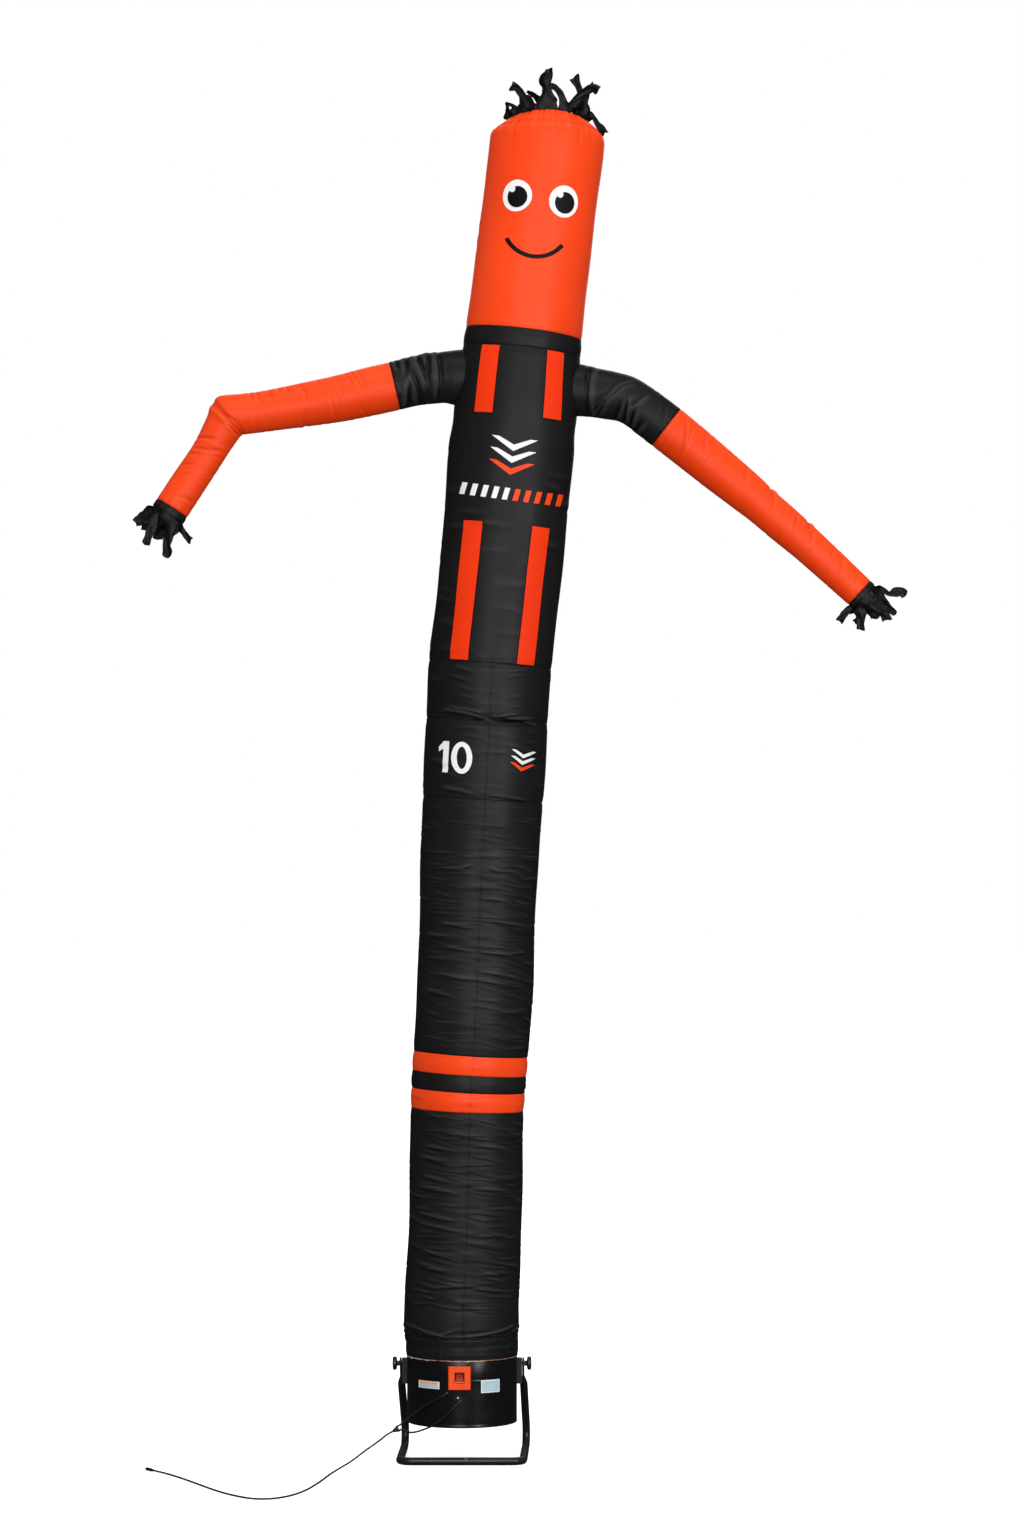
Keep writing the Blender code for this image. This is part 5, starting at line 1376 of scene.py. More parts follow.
STRIPES = (
    # name, left turn, right turn, bottom, top
    ("stripe_upper_left", -41.5, -21.5, 2.756, 2.934),
    ("stripe_upper_right", 26.0, 46.5, 2.756, 2.934),
    ("stripe_lower_left", -41.0, -21.0, 2.108, 2.471),
    ("stripe_lower_right", 26.0, 45.5, 2.108, 2.471),
)
SHADE_RIM_WIDTH = 0.0026
CHEST_SEWABLE = (2.1056, 2.9365)
EYE_TURN = 24.6
EYE_HEIGHT = 3.327
EYE_RADIUS = 0.0418
PUPIL_RADIUS = 0.0280
NOTCH = (-0.0163, 0.0196, 0.0088)
MOUTH_HEIGHT = 3.173
MOUTH_RADIUS = 0.0873
MOUTH_HALF_ANGLE = 58.0
MOUTH_WIDTH = 0.0108


def add_stripes(materials):
    """Stripes, each with a near-black band of print round it: painted shade along its sewn edge."""
    for name, left, right, bottom, top in STRIPES:
        x0, x1 = math.radians(left) * CHEST_RADIUS, math.radians(right) * CHEST_RADIUS
        box = [(x0, bottom), (x1, bottom), (x1, top), (x0, top)]
        stripe = add_patch(name + "_cloth", [box], on_chest, (0.0003, 0.0010),
                           materials["stripe"], "cloth_orange", (name,))
        # Painted shade: a near-black band of print laid round the stripe along its sewn edge.
        low, high = np.clip((bottom - SHADE_RIM_WIDTH, top + SHADE_RIM_WIDTH), *CHEST_SEWABLE)
        left, right = x0 - SHADE_RIM_WIDTH, x1 + SHADE_RIM_WIDTH
        rim = [(left, low), (right, low), (right, high), (left, high)]
        edging = add_patch(name + "_shade_rim", [rim, box], on_chest, (0.0001, 0.0006),
                           materials["ink"], "cloth_black")


def pupil_outline():
    """A disc with a round bite out of its upper left."""
    x, y, bite = NOTCH
    disc = oval(0.0, 0.0, PUPIL_RADIUS, PUPIL_RADIUS, 72)
    keep = np.hypot(disc[:, 0] - x, disc[:, 1] - y) > bite
    first = next(i for i in range(72) if keep[i] and not keep[i - 1])
    disc = np.roll(disc, -first, 0)[np.roll(keep, -first)]
    start = math.atan2(disc[-1, 1] - y, disc[-1, 0] - x)
    end = math.atan2(disc[0, 1] - y, disc[0, 0] - x)
    sweep = -((start - end) % (2 * math.pi))
    angle = start + sweep * np.linspace(0.0, 1.0, 18)[1:-1]
    arc = np.stack((x + bite * np.cos(angle), y + bite * np.sin(angle)), -1)
    return np.concatenate((disc, arc))


def mouth_outline():
    near, far = MOUTH_RADIUS - MOUTH_WIDTH / 2, MOUTH_RADIUS + MOUTH_WIDTH / 2
    angle = np.radians(np.linspace(-MOUTH_HALF_ANGLE, MOUTH_HALF_ANGLE, 40))
    spoke = np.stack((np.sin(angle), -np.cos(angle)), -1)
    centre = np.array((0.0, MOUTH_RADIUS))
    return np.concatenate((centre + spoke * far, centre + spoke[::-1] * near))


def add_face(materials):
    for side, sign in (("left", -1), ("right", 1)):
        turn = sign * EYE_TURN + 0.6
        white = add_patch(
            "eye_white_" + side + "_cloth", [oval(0.0, 0.0, EYE_RADIUS, EYE_RADIUS, 56)],
            onto(turn, EYE_HEIGHT), (0.0003, 0.0010), materials["white"],
            "cloth_white", ("eye_white_" + side,))
        pupil = add_patch(
            "pupil_" + side + "_cloth", [pupil_outline()],
            onto(turn + 0.8, EYE_HEIGHT - 0.003), (0.0012, 0.0018), materials["ink"],
            "print_black", ("pupil_" + side,))
    mouth = add_patch("mouth_cloth", [mouth_outline()], onto(0.0, MOUTH_HEIGHT),
                      (0.0003, 0.0009), materials["ink"], "print_black", ("mouth",), 0.0036)


# Marks printed on the cloth: a plain number, and plain chevrons and bars.
PRINT_HEIGHTS = (0.0002, 0.0005)
PICTURE_MIDDLE = (511.0, 735.0)


def place_of(px, py, back):
    """Metres across and up, from a place in the picture of a point this far back."""
    scale = METRE_PER_PIXEL * (1 - back / CAMERA_BACK)
    return (CAMERA_RIGHT + (px - PICTURE_MIDDLE[0]) * scale,
            CAMERA_HEIGHT - (py - PICTURE_MIDDLE[1]) * scale)


def on_front(px, py):
    """Metres round the chest and up of the point of its front seen at this place."""
    back = -0.13
    for _ in range(6):
        x, height = place_of(px, py, back)
        middle, _, _, across = tube_frames(np.array(height))
        sideways = (x - middle[0]) / across[0]
        turn = math.asin(max(-0.99, min(0.99, sideways / float(tube_radius(height)))))
        point = tube_points(height, math.degrees(turn), plain=True)
        back = float(point[1])
        height += height - float(point[2])
    return turn * CHEST_RADIUS, height


def printed(name, loops, colour, materials, step=0.0040):
    """A print whose loops are given in the picture's own places, px and py."""
    placed = [[on_front(px, py) for px, py in loop] for loop in loops]
    add_patch(name, placed, on_chest, PRINT_HEIGHTS, materials[colour], "cloth_" + colour,
              (), step)


PRINT_LEAN = 0.13


def leaning(loop, middle, lean=PRINT_LEAN):
    """The loop turned about a place by the tube's lean to the right."""
    c, s = math.cos(lean), math.sin(lean)
    return (np.array(loop) - middle) @ ((c, s), (-s, c)) + middle


def add_chevrons(name, middle, tops, wide, tall, bar, step, materials):
    """Three vees that point down, one below another: two white and one orange."""
    x = middle[0]
    for spot, (y, colour) in enumerate(zip(tops, ("white", "white", "orange"))):
        vee = [(x - wide, y), (x - wide + bar, y), (x, y + tall - bar * 0.9),
               (x + wide - bar, y), (x + wide, y), (x, y + tall)]
        printed("%s_%d" % (name, spot), [leaning(vee, middle)], colour, materials, step)


def add_prints(materials):
    one = [(438.4, 747.0), (443.2, 741.0), (448.4, 741.0), (448.4, 772.2),
           (443.0, 772.2), (443.0, 748.6), (438.8, 751.6)]
    printed("number_one", [leaning(one, (444, 757), 0.05)], "white", materials)
    hole = oval(461.6, 757.8, 5.0, -11.2)[::-1]
    printed("number_nought", [oval(461.6, 757.8, 10.6, -16.0), hole], "white", materials)
    add_chevrons("chevron_large", (512.5, 456.0), (437.5, 449.5, 461.5),
                 23.0, 13.5, 7.2, 0.0040, materials)
    for spot in range(10):
        px = 462.0 + 10.6 * spot
        bar = [(px, 488.0), (px + 5.2, 488.0), (px + 3.2, 500.0), (px - 2.0, 500.0)]
        colour = "white" if spot < 5 else "orange"
        printed("bar_%d" % spot, [leaning(bar, (509.0, 494.0))], colour, materials)
    add_chevrons("chevron_small", (522.5, 760.0), (750.5, 757.0, 763.5),
                 12.5, 8.0, 4.2, 0.0030, materials)


# ---- Hair and hands ---------------------------------------------------------

FINE = 12.0
HAIR_CORNER = (490.0, 60.0)
HAIR = (
    # turn, reach towards the viewer, twist, (across, down, width) at each bend
    (180.0, 0.010, 20.0, ((720, 520, 170), (700, 420, 120), (640, 330, 60))),
    (157.5, 0.020, 20.0, ((900, 560, 120), (880, 500, 80))),
    (-157.5, 0.020, -30.0, ((600, 520, 120), (560, 450, 80), (500, 400, 60), (440, 372, 34))),
    (-135.0, 0.020, 20.0, ((470, 560, 130), (440, 480, 90), (400, 430, 60))),
    (-112.5, 0.010, 20.0, ((300, 610, 120), (330, 560, 80))),
    (135.0, 0.020, 14.0, ((1085, 540, 100), (1095, 430, 86), (1065, 330, 84),
                          (1030, 255, 104), (1008, 200, 140))),
    (112.5, 0.010, -20.0, ((1100, 600, 120), (1080, 540, 80))),
    (-90.0, 0.000, 20.0, ((215, 630, 70), (206, 570, 44), (200, 508, 48))),
    (-67.5, 0.000, 10.0, ((300, 600, 120), (280, 552, 56), (235, 535, 40), (196, 530, 46))),
    (-45.0, 0.006, -24.0, ((415, 540, 150), (402, 450, 110), (362, 375, 92),
                           (312, 325, 96), (248, 312, 122))),
    (-22.5, 0.016, 50.0, ((508, 540, 110), (476, 470, 88), (440, 425, 60))),
    (0.0, 0.010, -22.0, ((690, 500, 250), (684, 400, 150), (672, 315, 110), (652, 245, 176),
                         (702, 165, 120), (714, 100, 84))),
    (22.5, 0.020, 26.0, ((882, 520, 110), (846, 410, 92), (786, 340, 84), (706, 300, 70))),
    (67.5, 0.000, -20.0, ((1130, 610, 150), (1126, 510, 104), (1162, 415, 84),
                          (1212, 335, 56), (1230, 262, 22))),
    (45.0, 0.030, 30.0, ((970, 560, 96), (1056, 452, 100), (1160, 368, 104),
                         (1238, 336, 112), (1296, 372, 116))),
    (90.0, 0.010, -24.0, ((1196, 655, 96), (1250, 700, 60), (1292, 772, 84),
                          (1346, 832, 102), (1388, 884, 84))),
)
LEFT_CORNER = (125.0, 490.0)
HAND_LEFT = (
    (180.0, 0.000, 20.0, ((450, 430, 170), (405, 530, 140), (385, 590, 116))),
    (135.0, 0.000, -20.0, ((320, 380, 150), (240, 420, 130), (190, 435, 90))),
    (-135.0, 0.000, 20.0, ((600, 450, 130), (560, 520, 110), (530, 570, 70))),
    (90.0, 0.010, 16.0, ((290, 275, 170), (195, 350, 150), (118, 398, 104))),
    (-45.0, 0.010, 24.0, ((640, 420, 120), (610, 480, 100), (560, 520, 70))),
    (-90.0, 0.006, 14.0, ((664, 450, 84), (724, 540, 76), (792, 615, 84))),
    (45.0, 0.016, -16.0, ((352, 350, 150), (312, 470, 120), (272, 580, 96), (244, 652, 104))),
    (0.0, 0.014, 12.0, ((540, 420, 150), (520, 560, 118), (502, 670, 104), (512, 740, 116),
                        (486, 806, 100))),
)
RIGHT_CORNER = (825.0, 570.0)
HAND_RIGHT = (
    (180.0, 0.000, 20.0, ((540, 460, 160), (600, 560, 100))),
    (135.0, 0.000, -20.0, ((410, 470, 130), (400, 540, 80))),
    (-135.0, 0.000, 20.0, ((640, 380, 120), (720, 470, 80), (790, 530, 70))),
    (90.0, 0.000, 8.0, ((262, 495, 92), (168, 622, 96))),
    (70.0, 0.010, 30.0, ((400, 560, 60), (352, 628, 66))),
    (45.0, 0.012, -14.0, ((430, 520, 130), (424, 610, 104), (430, 722, 98))),
    (-90.0, 0.010, -14.0, ((700, 245, 70), (770, 285, 64), (850, 265, 120), (920, 262, 116),
                           (968, 300, 104))),
    (-67.0, 0.004, 14.0, ((690, 350, 90), (770, 450, 80), (846, 530, 78))),
    (0.0, 0.012, 16.0, ((560, 420, 200), (610, 500, 150), (636, 572, 108))),
    (-45.0, 0.020, -14.0, ((620, 390, 140), (690, 500, 124), (752, 604, 116))),
)
RING_PROUD = 0.0015
STRIP_SEED = 500
STRIP_STEPS = 30
STRIP_COLUMNS = 9
STRIP_NARROWEST = 0.004
STRIP_WEAVE = 0.03
RING_ROWS = 4
RING_COLUMNS = 96
STRIP_HALF_WALL = 0.00035


def strip_path(root, along, strip, corner):
    """Rows of a strip's middle: metres along it, its place and its width."""
    _, reach, _, spots = strip
    middle = (root[0] + root[-1]) / 2
    width = float(np.linalg.norm(root[-1] - root[0]))
    places = [(*middle, width), (*(middle + along * 0.004), width)]
    for number, (x, y, wide) in enumerate(spots):
        back = middle[1] - reach * (number + 1) / len(spots)
        right, up = place_of(corner[0] + x / FINE, corner[1] + y / FINE, back)
        places.append((right, back, up, wide / FINE * METRE_PER_PIXEL))
    places = np.array(places)
    return np.column_stack((marks_along(places[:, :3]), places))


def strip_grid(root, along, strip, corner, seed):
    """Middle surface of a strip as a grid of points, its thick direction and length."""
    path = strip_path(root, along, strip, corner)
    length = path[-1, 0]
    share = np.linspace(0.0, 1.0, STRIP_STEPS + 1)[:, None]
    spots = smooth_rows(path, share[:, 0] * length)
    middles, widths = spots[:, :3], np.maximum(spots[:, 3:], STRIP_NARROWEST)
    travel = unit(np.gradient(middles, axis=0))
    first = unit(root[-1] - root[0])
    shape = np.linspace(-1.0, 1.0, len(root))
    phase = np.random.RandomState(seed).uniform(0.0, 6.28, 4)
    # The strip leaves its ring along the ring and then turns flat to the viewer.
    flat = unit(np.cross(travel, (0.0, 1.0, 0.0)))
    flat *= math.copysign(1.0, flat[-1] @ first)
    blend = ramp(share, 0.0, 0.30)
    wide = first * (1 - blend) + flat * blend
    wide = unit(wide - travel * np.sum(wide * travel, -1, keepdims=True))
    spin = np.radians(strip[2] * np.sin(math.pi * share * 0.8) * blend)
    wide = wide * np.cos(spin) + np.cross(travel, wide) * np.sin(spin)
    thick = np.cross(wide, travel)[:, None]
    cup = 0.20 * widths * (0.35 - shape**2) * np.sin(5.0 * share + phase[1])
    flap = 0.0026 * share * np.sin(3.4 * shape + 9.0 * share + phase[2])
    ridge = 0.0016 * bell(shape - 0.5 * np.sin(3 * share + phase[3]), 0.20)
    frayed = widths * (1 + 0.05 * np.sin(23.0 * share + phase[0])) / 2
    loose = ramp(share, 0.0, 0.25)[..., None]
    arc = root - (middles[0] + first * shape[:, None] * widths[0] / 2)
    grid = middles[:, None] + wide[:, None] * (shape * frayed)[..., None]
    grid += thick * (cup + flap + ridge)[..., None] * loose + arc * (1 - loose)
    ragged = 0.0020 * np.cos(2.6 * shape + phase[1]) + 0.0016 * shape * math.sin(phase[0])
    grid[-1] += travel[-1] * ragged[:, None]
    return grid, thick, length


def add_tuft(name, middle, axes, radius, depth, segments, strips, corner, material, lift=0.0):
    """A narrow backing ring with the strips of nylon that grow from it."""
    along, front, across = axes
    middle = middle + along * RING_PROUD

    def ring_point(turn, reach, rise):
        angle = np.radians(turn)[..., None]
        outward = front * np.cos(angle) + across * np.sin(angle)
        return middle + outward * reach + along * (rise + lift * np.cos(2 * angle))

    turns, rises = np.meshgrid(np.arange(RING_COLUMNS) * 360.0 / RING_COLUMNS,
                               np.linspace(-depth, 0.0, RING_ROWS))
    wall, r, c = shell_corners(RING_ROWS, RING_COLUMNS)
    faces = [(wall * RING_ROWS + r) * RING_COLUMNS + c % RING_COLUMNS]
    points = [ring_point(turns, reach, rises[..., None]).reshape(-1, 3)
              for reach in (radius, radius - 2 * STRIP_HALF_WALL)]
    spots = [np.zeros((2 * RING_ROWS * RING_COLUMNS, 2))]
    lengths, areas = [], []
    half = 180.0 / segments
    for number, strip in enumerate(strips):
        span = np.linspace(strip[0] - half, strip[0] + half, STRIP_COLUMNS)
        root = ring_point(span, radius - STRIP_HALF_WALL, -0.001)
        grid, thick, length = strip_grid(root, along, strip, corner, STRIP_SEED + number)
        lengths.append(length)
        areas.append(grid_area(grid))
        numbers = np.arange(2 * len(grid) * STRIP_COLUMNS) + sum(len(p) for p in points)
        faces.append(wall_faces(*numbers.reshape(2, len(grid), STRIP_COLUMNS)))
        points += [(grid + thick * off).reshape(-1, 3)
                   for off in (STRIP_HALF_WALL, -STRIP_HALF_WALL)]
        spots += [flat_grid(np.linspace(0.0, STRIP_WEAVE, STRIP_COLUMNS),
                            np.linspace(0.0, length, len(grid)))] * 2
    obj = object_from(name + "_cloth", np.concatenate(points), np.concatenate(faces), material)
    lay_cloth_maps(obj, np.concatenate(spots)[corner_points(obj)])
    obj.data.set_sharp_from_angle(angle=math.radians(60))
    finish_piece(obj, "cloth_black", name)


def add_tufts(materials):
    """The hair on the crown, and the hands at the ends of the arms."""
    middle, *axes = tube_frames(np.array(RIM_HEIGHT))
    # Each ring lies within the flats of the CAD hem, which has 32 or 16 sides.
    radius = RIM_RADIUS * math.cos(math.pi / 32) - 0.0024
    add_tuft("hair", middle, axes, radius, 0.012, 16, HAIR, HAIR_CORNER,
             materials["strip"], CROWN_ARCH)
    for side, rows, strips, corner in (("left", SIDE_LEFT, HAND_LEFT, LEFT_CORNER),
                                       ("right", SIDE_RIGHT, HAND_RIGHT, RIGHT_CORNER)):
        start, end = rows[-2:, :3]
        radius = (rows[-1, 3] - 0.0012) * math.cos(math.pi / 16) - GAP
        add_tuft("fringe_" + side, end, frames_along(end - start), radius, 0.010, 8,
                 strips, corner, materials["strip"])


# ---- Collar ------------------------------------------------------------------

def lathe(name, profile, material, sides=128, full=None):
    """A closed ring of revolution round the blower's axis, from (radius, height).

    full gives each side's share of the profile's size, from its first point.
    """
    rows = np.array(profile)
    points = round_axis(rows[:, :1], np.arange(sides) * 360.0 / sides, rows[:, 1:])
    if full is not None:
        points = points[0] + (points - points[0]) * full[:, None]
    numbers = np.arange(len(rows) * sides).reshape(-1, sides)
    obj = object_from(name, points, quads(np.pad(numbers, (0, 1), "wrap")), material)
    obj.data.set_sharp_from_angle(angle=math.radians(45))
    return obj


COLLAR_SNUG = DRUM_RADIUS + GAP
COLLAR_TOP = TUBE_BOTTOM - GAP / 2
COLLAR_RADIUS = 0.148
COLLAR_COLUMNS = 160
COLLAR_TURNS = np.arange(COLLAR_COLUMNS) * 360.0 / COLLAR_COLUMNS


def add_collar(materials):
    """The part of the tube that is pulled over the drum, below the tied strap."""
    heights = np.concatenate((np.linspace(COLLAR_BOTTOM, 0.2815, 5),
                              np.linspace(0.2835, 0.313, 13),
                              np.linspace(0.3143, COLLAR_TOP, 4)))
    turns = COLLAR_TURNS - 180.0
    height, turn = heights[:, None], turns[None, :]
    upper = ramp(height, 0.292, COLLAR_TOP)
    soft = 0.0007 * ripples(turn, 71, 6, 9, 24) + 0.0003 * ripples(turn, 72, 6, 24, 50)
    low = 0.000125 * ripples(turn, 73, 6, 20, 56)
    depth = press(height, turn, scatter(
        74, 16, 0.290, 0.312, -180.0, 180.0, 30.0, 0.0030, 0.0012, 0.008))
    reach = COLLAR_SNUG + 0.0012 + 0.0017 * ramp(height, COLLAR_BOTTOM, 0.292)
    reach = reach + upper * np.clip(soft, -0.0011, 0.0016) + (1 - upper) * low
    reach = reach - 0.0005 * bell(height - COLLAR_BOTTOM - 0.005, 0.0010) - depth
    reach = np.maximum(reach, COLLAR_SNUG + 0.0006)
    walls = [round_axis(wall, turn, height)
             for wall in (reach, np.maximum(reach - CLOTH_THICKNESS, COLLAR_SNUG))]
    obj = shell("base_collar", walls, heights, turns, COLLAR_RADIUS, [], depth,
                materials["black"])
    finish_piece(obj, "cloth_black", "base_collar")


def add_trim(materials):
    """The light edging under the collar, which shows more in some places."""
    low, high = COLLAR_BOTTOM - 0.0045, COLLAR_BOTTOM - GAP
    profile = [(COLLAR_SNUG, high), (COLLAR_SNUG, low)]
    for a in np.linspace(-math.pi / 2, math.pi / 2, 9):
        profile.append((COLLAR_SNUG + 0.0008 + 0.0011 * math.cos(a),
                        (high + low) / 2 + (high - low) / 2 * math.sin(a)))
    shown = np.clip(0.62 + 0.27 * ripples(COLLAR_TURNS, 75, 7, 6, 44), 0.22, 1.0)
    trim = lathe("collar_trim_edging", profile, materials["trim"], COLLAR_COLUMNS, shown)
    # Darker in uneven patches round the edging, through the furrow share of the crease map.
    dark_patches = np.clip(ripples(COLLAR_TURNS, 76, 7, 16, 60) - 0.7, 0.0, 1.0)
    dark_patches = dark_patches[corner_points(trim) % COLLAR_COLUMNS]
    lay_cloth_maps(trim, (0.0, 0.0), crease=np.stack((dark_patches, 0 * dark_patches), -1))
    finish_piece(trim, "trim", "collar_trim")


TAB_TURNS = np.linspace(-24.4, -20.8, 7)
TAB_WIDTH = 0.0100


TAB = np.array((
    # height, how far out its back lies
    (0.2790, 0.1492),
    (0.3165, 0.1502),
    (0.3385, 0.1542),
))


def add_tab(materials):
    """The loose end of the tie strap, which hangs down the front."""
    share = np.linspace(0.0, 1.0, 34)[:, None]
    length = TAB[-1, 0] - TAB[0, 0]
    heights = TAB[0, 0] + length * share
    arch = 0.0004 * (1 - np.linspace(-1.0, 1.0, len(TAB_TURNS)) ** 2)
    reach = smooth_rows(TAB, heights)[..., 0] + 0.0005 * np.sin(9.0 * share) + arch
    turns = TAB_TURNS + 0.5 * np.sin(5.0 * share)
    walls = [round_axis(reach + off, turns, heights) for off in (0.0016, 0.0002)]
    obj, spots = thin_sheet("collar_tab_webbing", walls, materials["black"])
    lay_cloth_maps(obj, flat_grid(np.linspace(0, TAB_WIDTH, len(TAB_TURNS)), heights)[spots])
    finish_piece(obj, "cloth_black", "collar_tab")


# ---- Blower -----------------------------------------------------------------

def add_drum(materials):
    """The rolled drum: a hemmed lip, a pressed bead and a plain upper edge."""
    r, low = DRUM_RADIUS, DRUM_BOTTOM
    profile = [(r - DRUM_WALL, low + 0.0008), (r - DRUM_WALL + 0.0008, low)]
    for a in np.linspace(0.0, math.pi / 2, 5):
        profile.append((r - 0.0010 + 0.0010 * math.sin(a), low + 0.0010 - 0.0010 * math.cos(a)))
    profile += [(r, low + 0.0070), (r - 0.0004, low + 0.0078), (r - 0.0004, low + 0.0090),
                (r - 0.0004, BEAD_HEIGHT - 0.010), (r - 0.0002, BEAD_HEIGHT - 0.0045)]
    for share in np.linspace(-1.0, 1.0, 9):
        dent = 0.00035 * (1 + math.cos(math.pi * share))
        profile.append((r - 0.0002 - dent, BEAD_HEIGHT + 0.0032 * share))
    profile += [(r - 0.0002, BEAD_HEIGHT + 0.0045), (r, BEAD_HEIGHT + 0.010),
                (r, DRUM_TOP - 0.0006), (r - 0.0006, DRUM_TOP), (r - DRUM_WALL, DRUM_TOP)]
    drum = lathe("drum_casing", profile, materials["casing"])
    finish_piece(drum, "casing", "drum")


PLATES = (
    # name, first and last turn, bottom, top
    ("plate_left", -50.0, -23.3, 0.2028, 0.2217),
    ("plate_right", 20.5, 42.7, 0.1927, 0.2262),
)


def add_plates(materials):
    """Thin blank plates stuck on the drum."""
    for name, first, last, low, high in PLATES:
        turn, height = np.meshgrid(np.linspace(first, last, 17), np.linspace(low, high, 5))
        walls = [round_axis(DRUM_RADIUS + off, turn, height) for off in (0.0011, 0.0001)]
        obj, spots = thin_sheet(name + "_sticker", walls, materials[name])
        lay_map(obj, "plate", flat_grid(np.linspace(0, 1, 17), np.linspace(0, 1, 5))[spots])
        obj.data.set_sharp_from_angle(angle=math.radians(40))
        finish_piece(obj, "plate", name)


STAND_RADIUS = 0.0105
STAND_FRONT = -0.115
STAND_SWAY = 0.055
STAND_SWAY_START = 0.035
STAND_CORNER = 0.032
BACK_CORNER = 0.235
BACK_BEND = 0.035
BOLT_RADIUS = 0.0040
EYE_PLATE = 0.0030
STAND_SIDES = 28
STAND_EYE = (
    # distance down the leg, half thickness and half width of the flattened tube
    (-0.0155, EYE_PLATE * 0.55, 0.0050),
    (-0.0148, EYE_PLATE * 0.85, 0.0080),
    (-0.0128, EYE_PLATE, 0.0108),
    (-0.0095, EYE_PLATE, 0.0133),
    (-0.0040, EYE_PLATE, 0.0140),
    (0.0550, EYE_PLATE, 0.0140),
    (0.0620, 0.0040, 0.0138),
    (0.0690, 0.0064, 0.0131),
    (0.0760, 0.0086, 0.0121),
    (0.0820, 0.0099, 0.0112),
    (0.0890, STAND_RADIUS, STAND_RADIUS),
)


def arc_points(before, corner, after, radius, steps):
    """Points of a bend of this radius in the corner between two others."""
    to_before = (before - corner).normalized()
    to_after = (after - corner).normalized()
    half = to_before.angle(to_after) / 2
    run = radius / math.tan(half)
    centre = corner + (to_before + to_after).normalized() * (radius / math.sin(half))
    start = corner + to_before * run
    normal = to_before.cross(to_after)
    found = []
    for i in range(steps + 1):
        spin = Matrix.Rotation(-(math.pi - 2 * half) * i / steps, 3, normal)
        found.append(centre + spin @ (start - centre))
    return found


def stand_side(sign):
    """Middle line of one leg, from its eye down and forward to the corner."""
    x = sign * LEG_X
    pivot = Vector((x, 0.0, PIVOT_HEIGHT))
    back = Vector((x, BACK_CORNER, STAND_RADIUS))
    corner = Vector((x, STAND_FRONT, STAND_RADIUS))
    middle = Vector((0.0, STAND_FRONT, STAND_RADIUS))
    leg = (back - pivot).normalized()
    line = [(pivot + leg * at, thick, wide) for at, thick, wide in STAND_EYE]
    bends = (arc_points(pivot, back, corner, BACK_BEND, 16)
             + arc_points(back, corner, middle, STAND_CORNER, 14))
    line += [(point, STAND_RADIUS, STAND_RADIUS) for point in bends]
    for point, _, _ in line:
        point.x += STAND_SWAY * max(point.y - STAND_SWAY_START, 0.0)
    return line


def tube_axes(travel, x):
    """Across and up axes that turn steadily along legs, rails and front bar."""
    if abs(travel.x) > 0.1:
        up = Vector((0.0, 0.0, -1.0))
        return travel.cross(up).normalized(), up
    side = Vector((-math.copysign(1.0, x), 0.0, 0.0))
    side = (side - travel * side.dot(travel)).normalized()
    return side, side.cross(travel).normalized()


def add_stand(materials):
    """One bent tube with flattened eyes, drilled for the clamp bolts."""
    line = stand_side(-1) + stand_side(1)[::-1]
    middles = [row[0] for row in line]
    points = []
    for spot, (middle, thick, wide) in enumerate(line):
        travel = middles[min(spot + 1, len(line) - 1)] - middles[max(spot - 1, 0)]
        side, up = tube_axes(travel.normalized(), middle.x)
        for i in range(STAND_SIDES):
            angle = 2 * math.pi * i / STAND_SIDES
            points.append(middle + side * (math.cos(angle) * thick) + up * (math.sin(angle) * wide))
    numbers = np.arange(len(points)).reshape(-1, STAND_SIDES)
    tube = quads(np.pad(numbers, ((0, 0), (0, 1)), "wrap"))
    stand = object_from("stand_tube", points, [*tube, numbers[0, ::-1], numbers[-1]],
                        materials["steel"])
    outward(stand)
    for sign in (-1, 1):
        drill(stand, (sign * LEG_X, 0.0, PIVOT_HEIGHT), BOLT_RADIUS + GAP, 0.012)
    stand.data.set_sharp_from_angle(angle=math.radians(40))
    finish_piece(stand, "black_steel", "stand", body="stand")


def outward(obj):
    """Turn all faces of a closed mesh outwards."""
    tidy = bmesh.new()
    tidy.from_mesh(obj.data)
    bmesh.ops.recalc_face_normals(tidy, faces=tidy.faces)
    tidy.to_mesh(obj.data)
    tidy.free()


def drill(obj, place, radius, half):
    """Cut a round hole through an object, along X."""
    bit = bmesh.new()
    lie = Matrix.Translation(ORIGIN + Vector(place)) @ Matrix.Rotation(math.pi / 2, 4, "Y")
    bmesh.ops.create_cone(bit, cap_ends=True, segments=32, radius1=radius, radius2=radius,
                          depth=2 * half, matrix=lie)
    mesh = bpy.data.meshes.new("drill")
    bit.to_mesh(mesh)
    bit.free()
    guide = new_object("drill", mesh)
    step = obj.modifiers.new("hole", "BOOLEAN")
    step.operation = "DIFFERENCE"
    step.object = guide
    bpy.context.view_layer.update()
    drilled = obj.evaluated_get(bpy.context.evaluated_depsgraph_get())
    whole = bpy.data.meshes.new_from_object(drilled)
    obj.modifiers.clear()
    obj.data = whole
    bpy.data.objects.remove(guide)


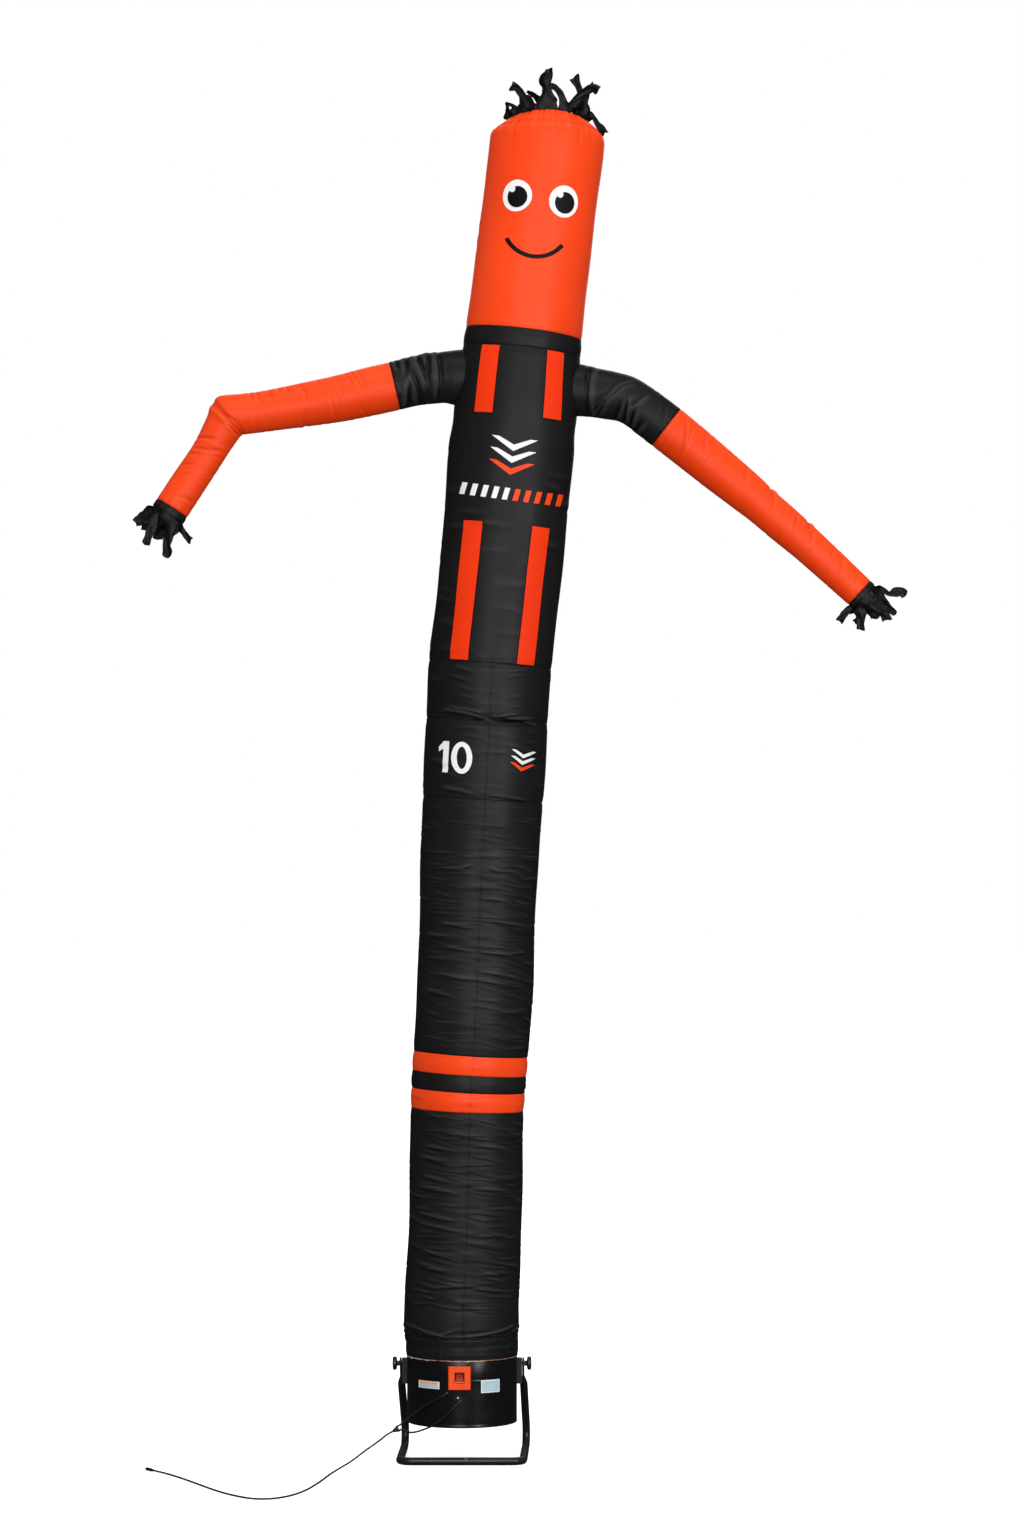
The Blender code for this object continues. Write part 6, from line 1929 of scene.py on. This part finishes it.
DRESSED = (
    # node, finish, slot, width of its softened edges, segments across them
    ("guard", "steel", "black_steel", 0.0006, 2),
    ("motor", "motor", "motor_can", 0.0008, 2),
    ("fan", "casing", "casing", 0.0005, 2),
    ("switch_plate", "switch", "switch_orange", 0.0022, 4),
    ("rocker", "rocker", "switch_orange", 0.0012, 3),
    ("screw", "screw", "screw_steel", 0.0003, 2),
    ("bracket_left", "bracket", "black_steel", 0.0009, 2),
    ("bracket_right", "bracket", "black_steel", 0.0009, 2),
    ("knob_left", "knob", "knob_plastic", 0.0011, 3),
    ("knob_right", "knob", "knob_plastic", 0.0011, 3),
    ("gland_lead", "rubber", "cord_rubber", 0.0005, 2),
    ("gland_branch", "rubber", "cord_rubber", 0.0005, 2),
    ("cord_joint", "rubber", "cord_rubber", 0.0005, 2),
    ("cord_end", "rubber", "cord_rubber", 0.0005, 2),
)


def dress_nodes(materials):
    """Give the CAD nodes that stay their materials and soften their edges."""
    for node, finish, slot, bevel, segments in DRESSED:
        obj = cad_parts[node]
        obj.data.materials.clear()
        obj.data.materials.append(materials[finish])
        for polygon in obj.data.polygons:
            polygon.material_index = 0
        weld = obj.modifiers.new("weld", "WELD")
        weld.merge_threshold = 0.00002
        soft = obj.modifiers.new("soft_edges", "BEVEL")
        soft.width = bevel
        soft.segments = segments
        soft.limit_method = "ANGLE"
        soft.angle_limit = math.radians(30.0)
        soft.harden_normals = True


# ---- Cords ------------------------------------------------------------------

def smooth_route(route, step):
    """Points at about this spacing along a smooth curve through a route."""
    marks = marks_along(route)
    spots = np.linspace(0.0, marks[-1], int(marks[-1] / step) + 1)
    return [Vector(p) for p in smooth_rows(np.column_stack((marks, route)), spots)]


def add_flex(name, points, material):
    """A round flexible lead along these points."""
    line = bpy.data.curves.new(name + "_flex", "CURVE")
    line.dimensions = "3D"
    line.bevel_depth = CORD_DIAMETER / 2
    line.bevel_resolution = 5
    line.use_fill_caps = True
    spline = line.splines.new("POLY")
    spline.points.add(len(points) - 1)
    for spot, point in zip(spline.points, points):
        spot.co = (*(ORIGIN + point), 1.0)
    line.materials.append(material)
    return finish_piece(new_object(name + "_flex", line), "cord_rubber", name)


def joint_ends():
    """Ends of the three leads, each cut square to the way through the joint."""
    lead = Vector(LEAD_ROUTE[-1])
    branch = Vector(BRANCH_ROUTE[-1])
    mains = Vector(MAINS_ROUTE[0])
    middle = (lead + branch) / 2
    along = (mains - middle).normalized()
    middle += along * JOINT_STEP
    lead += along * (middle - lead).dot(along)
    branch += along * (middle - branch).dot(along)
    return lead, branch, mains - along * JOINT_STEP


def add_cords(materials):
    lead_end, branch_end, mains_start = joint_ends()
    for name, line, lay, holders in (
            ("cord_lead", smooth_route(LEAD_ROUTE, 0.004) + [lead_end], "hanging",
             ("gland_lead", "cord_joint")),
            ("cord_branch", smooth_route(BRANCH_ROUTE, 0.004) + [branch_end], "hanging",
             ("gland_branch",)),
            ("cord_mains", [mains_start] + smooth_route(MAINS_ROUTE, 0.006), "loose",
             ("cord_end",))):
        cord = add_flex(name, line, materials["rubber"])
        length = sum((b - a).length for a, b in zip(line, line[1:]))
        [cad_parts[holder] for holder in holders]


# ---- The run of the script --------------------------------------------------

materials = make_materials()

add_camera()
add_cords(materials)
add_light()
add_world()
add_floor()

for row in PANELS:
    add_panel(row, materials)
add_side("left", SIDE_LEFT, LEFT_CREASES, 2, materials)
add_side("right", SIDE_RIGHT, RIGHT_CREASES, 4, materials)
add_stripes(materials)
add_face(materials)
add_prints(materials)
add_tufts(materials)
add_drum(materials)
add_collar(materials)
add_trim(materials)
add_tab(materials)
add_plates(materials)
add_stand(materials)
dress_nodes(materials)

bpy.context.scene.view_settings.view_transform = "Standard"
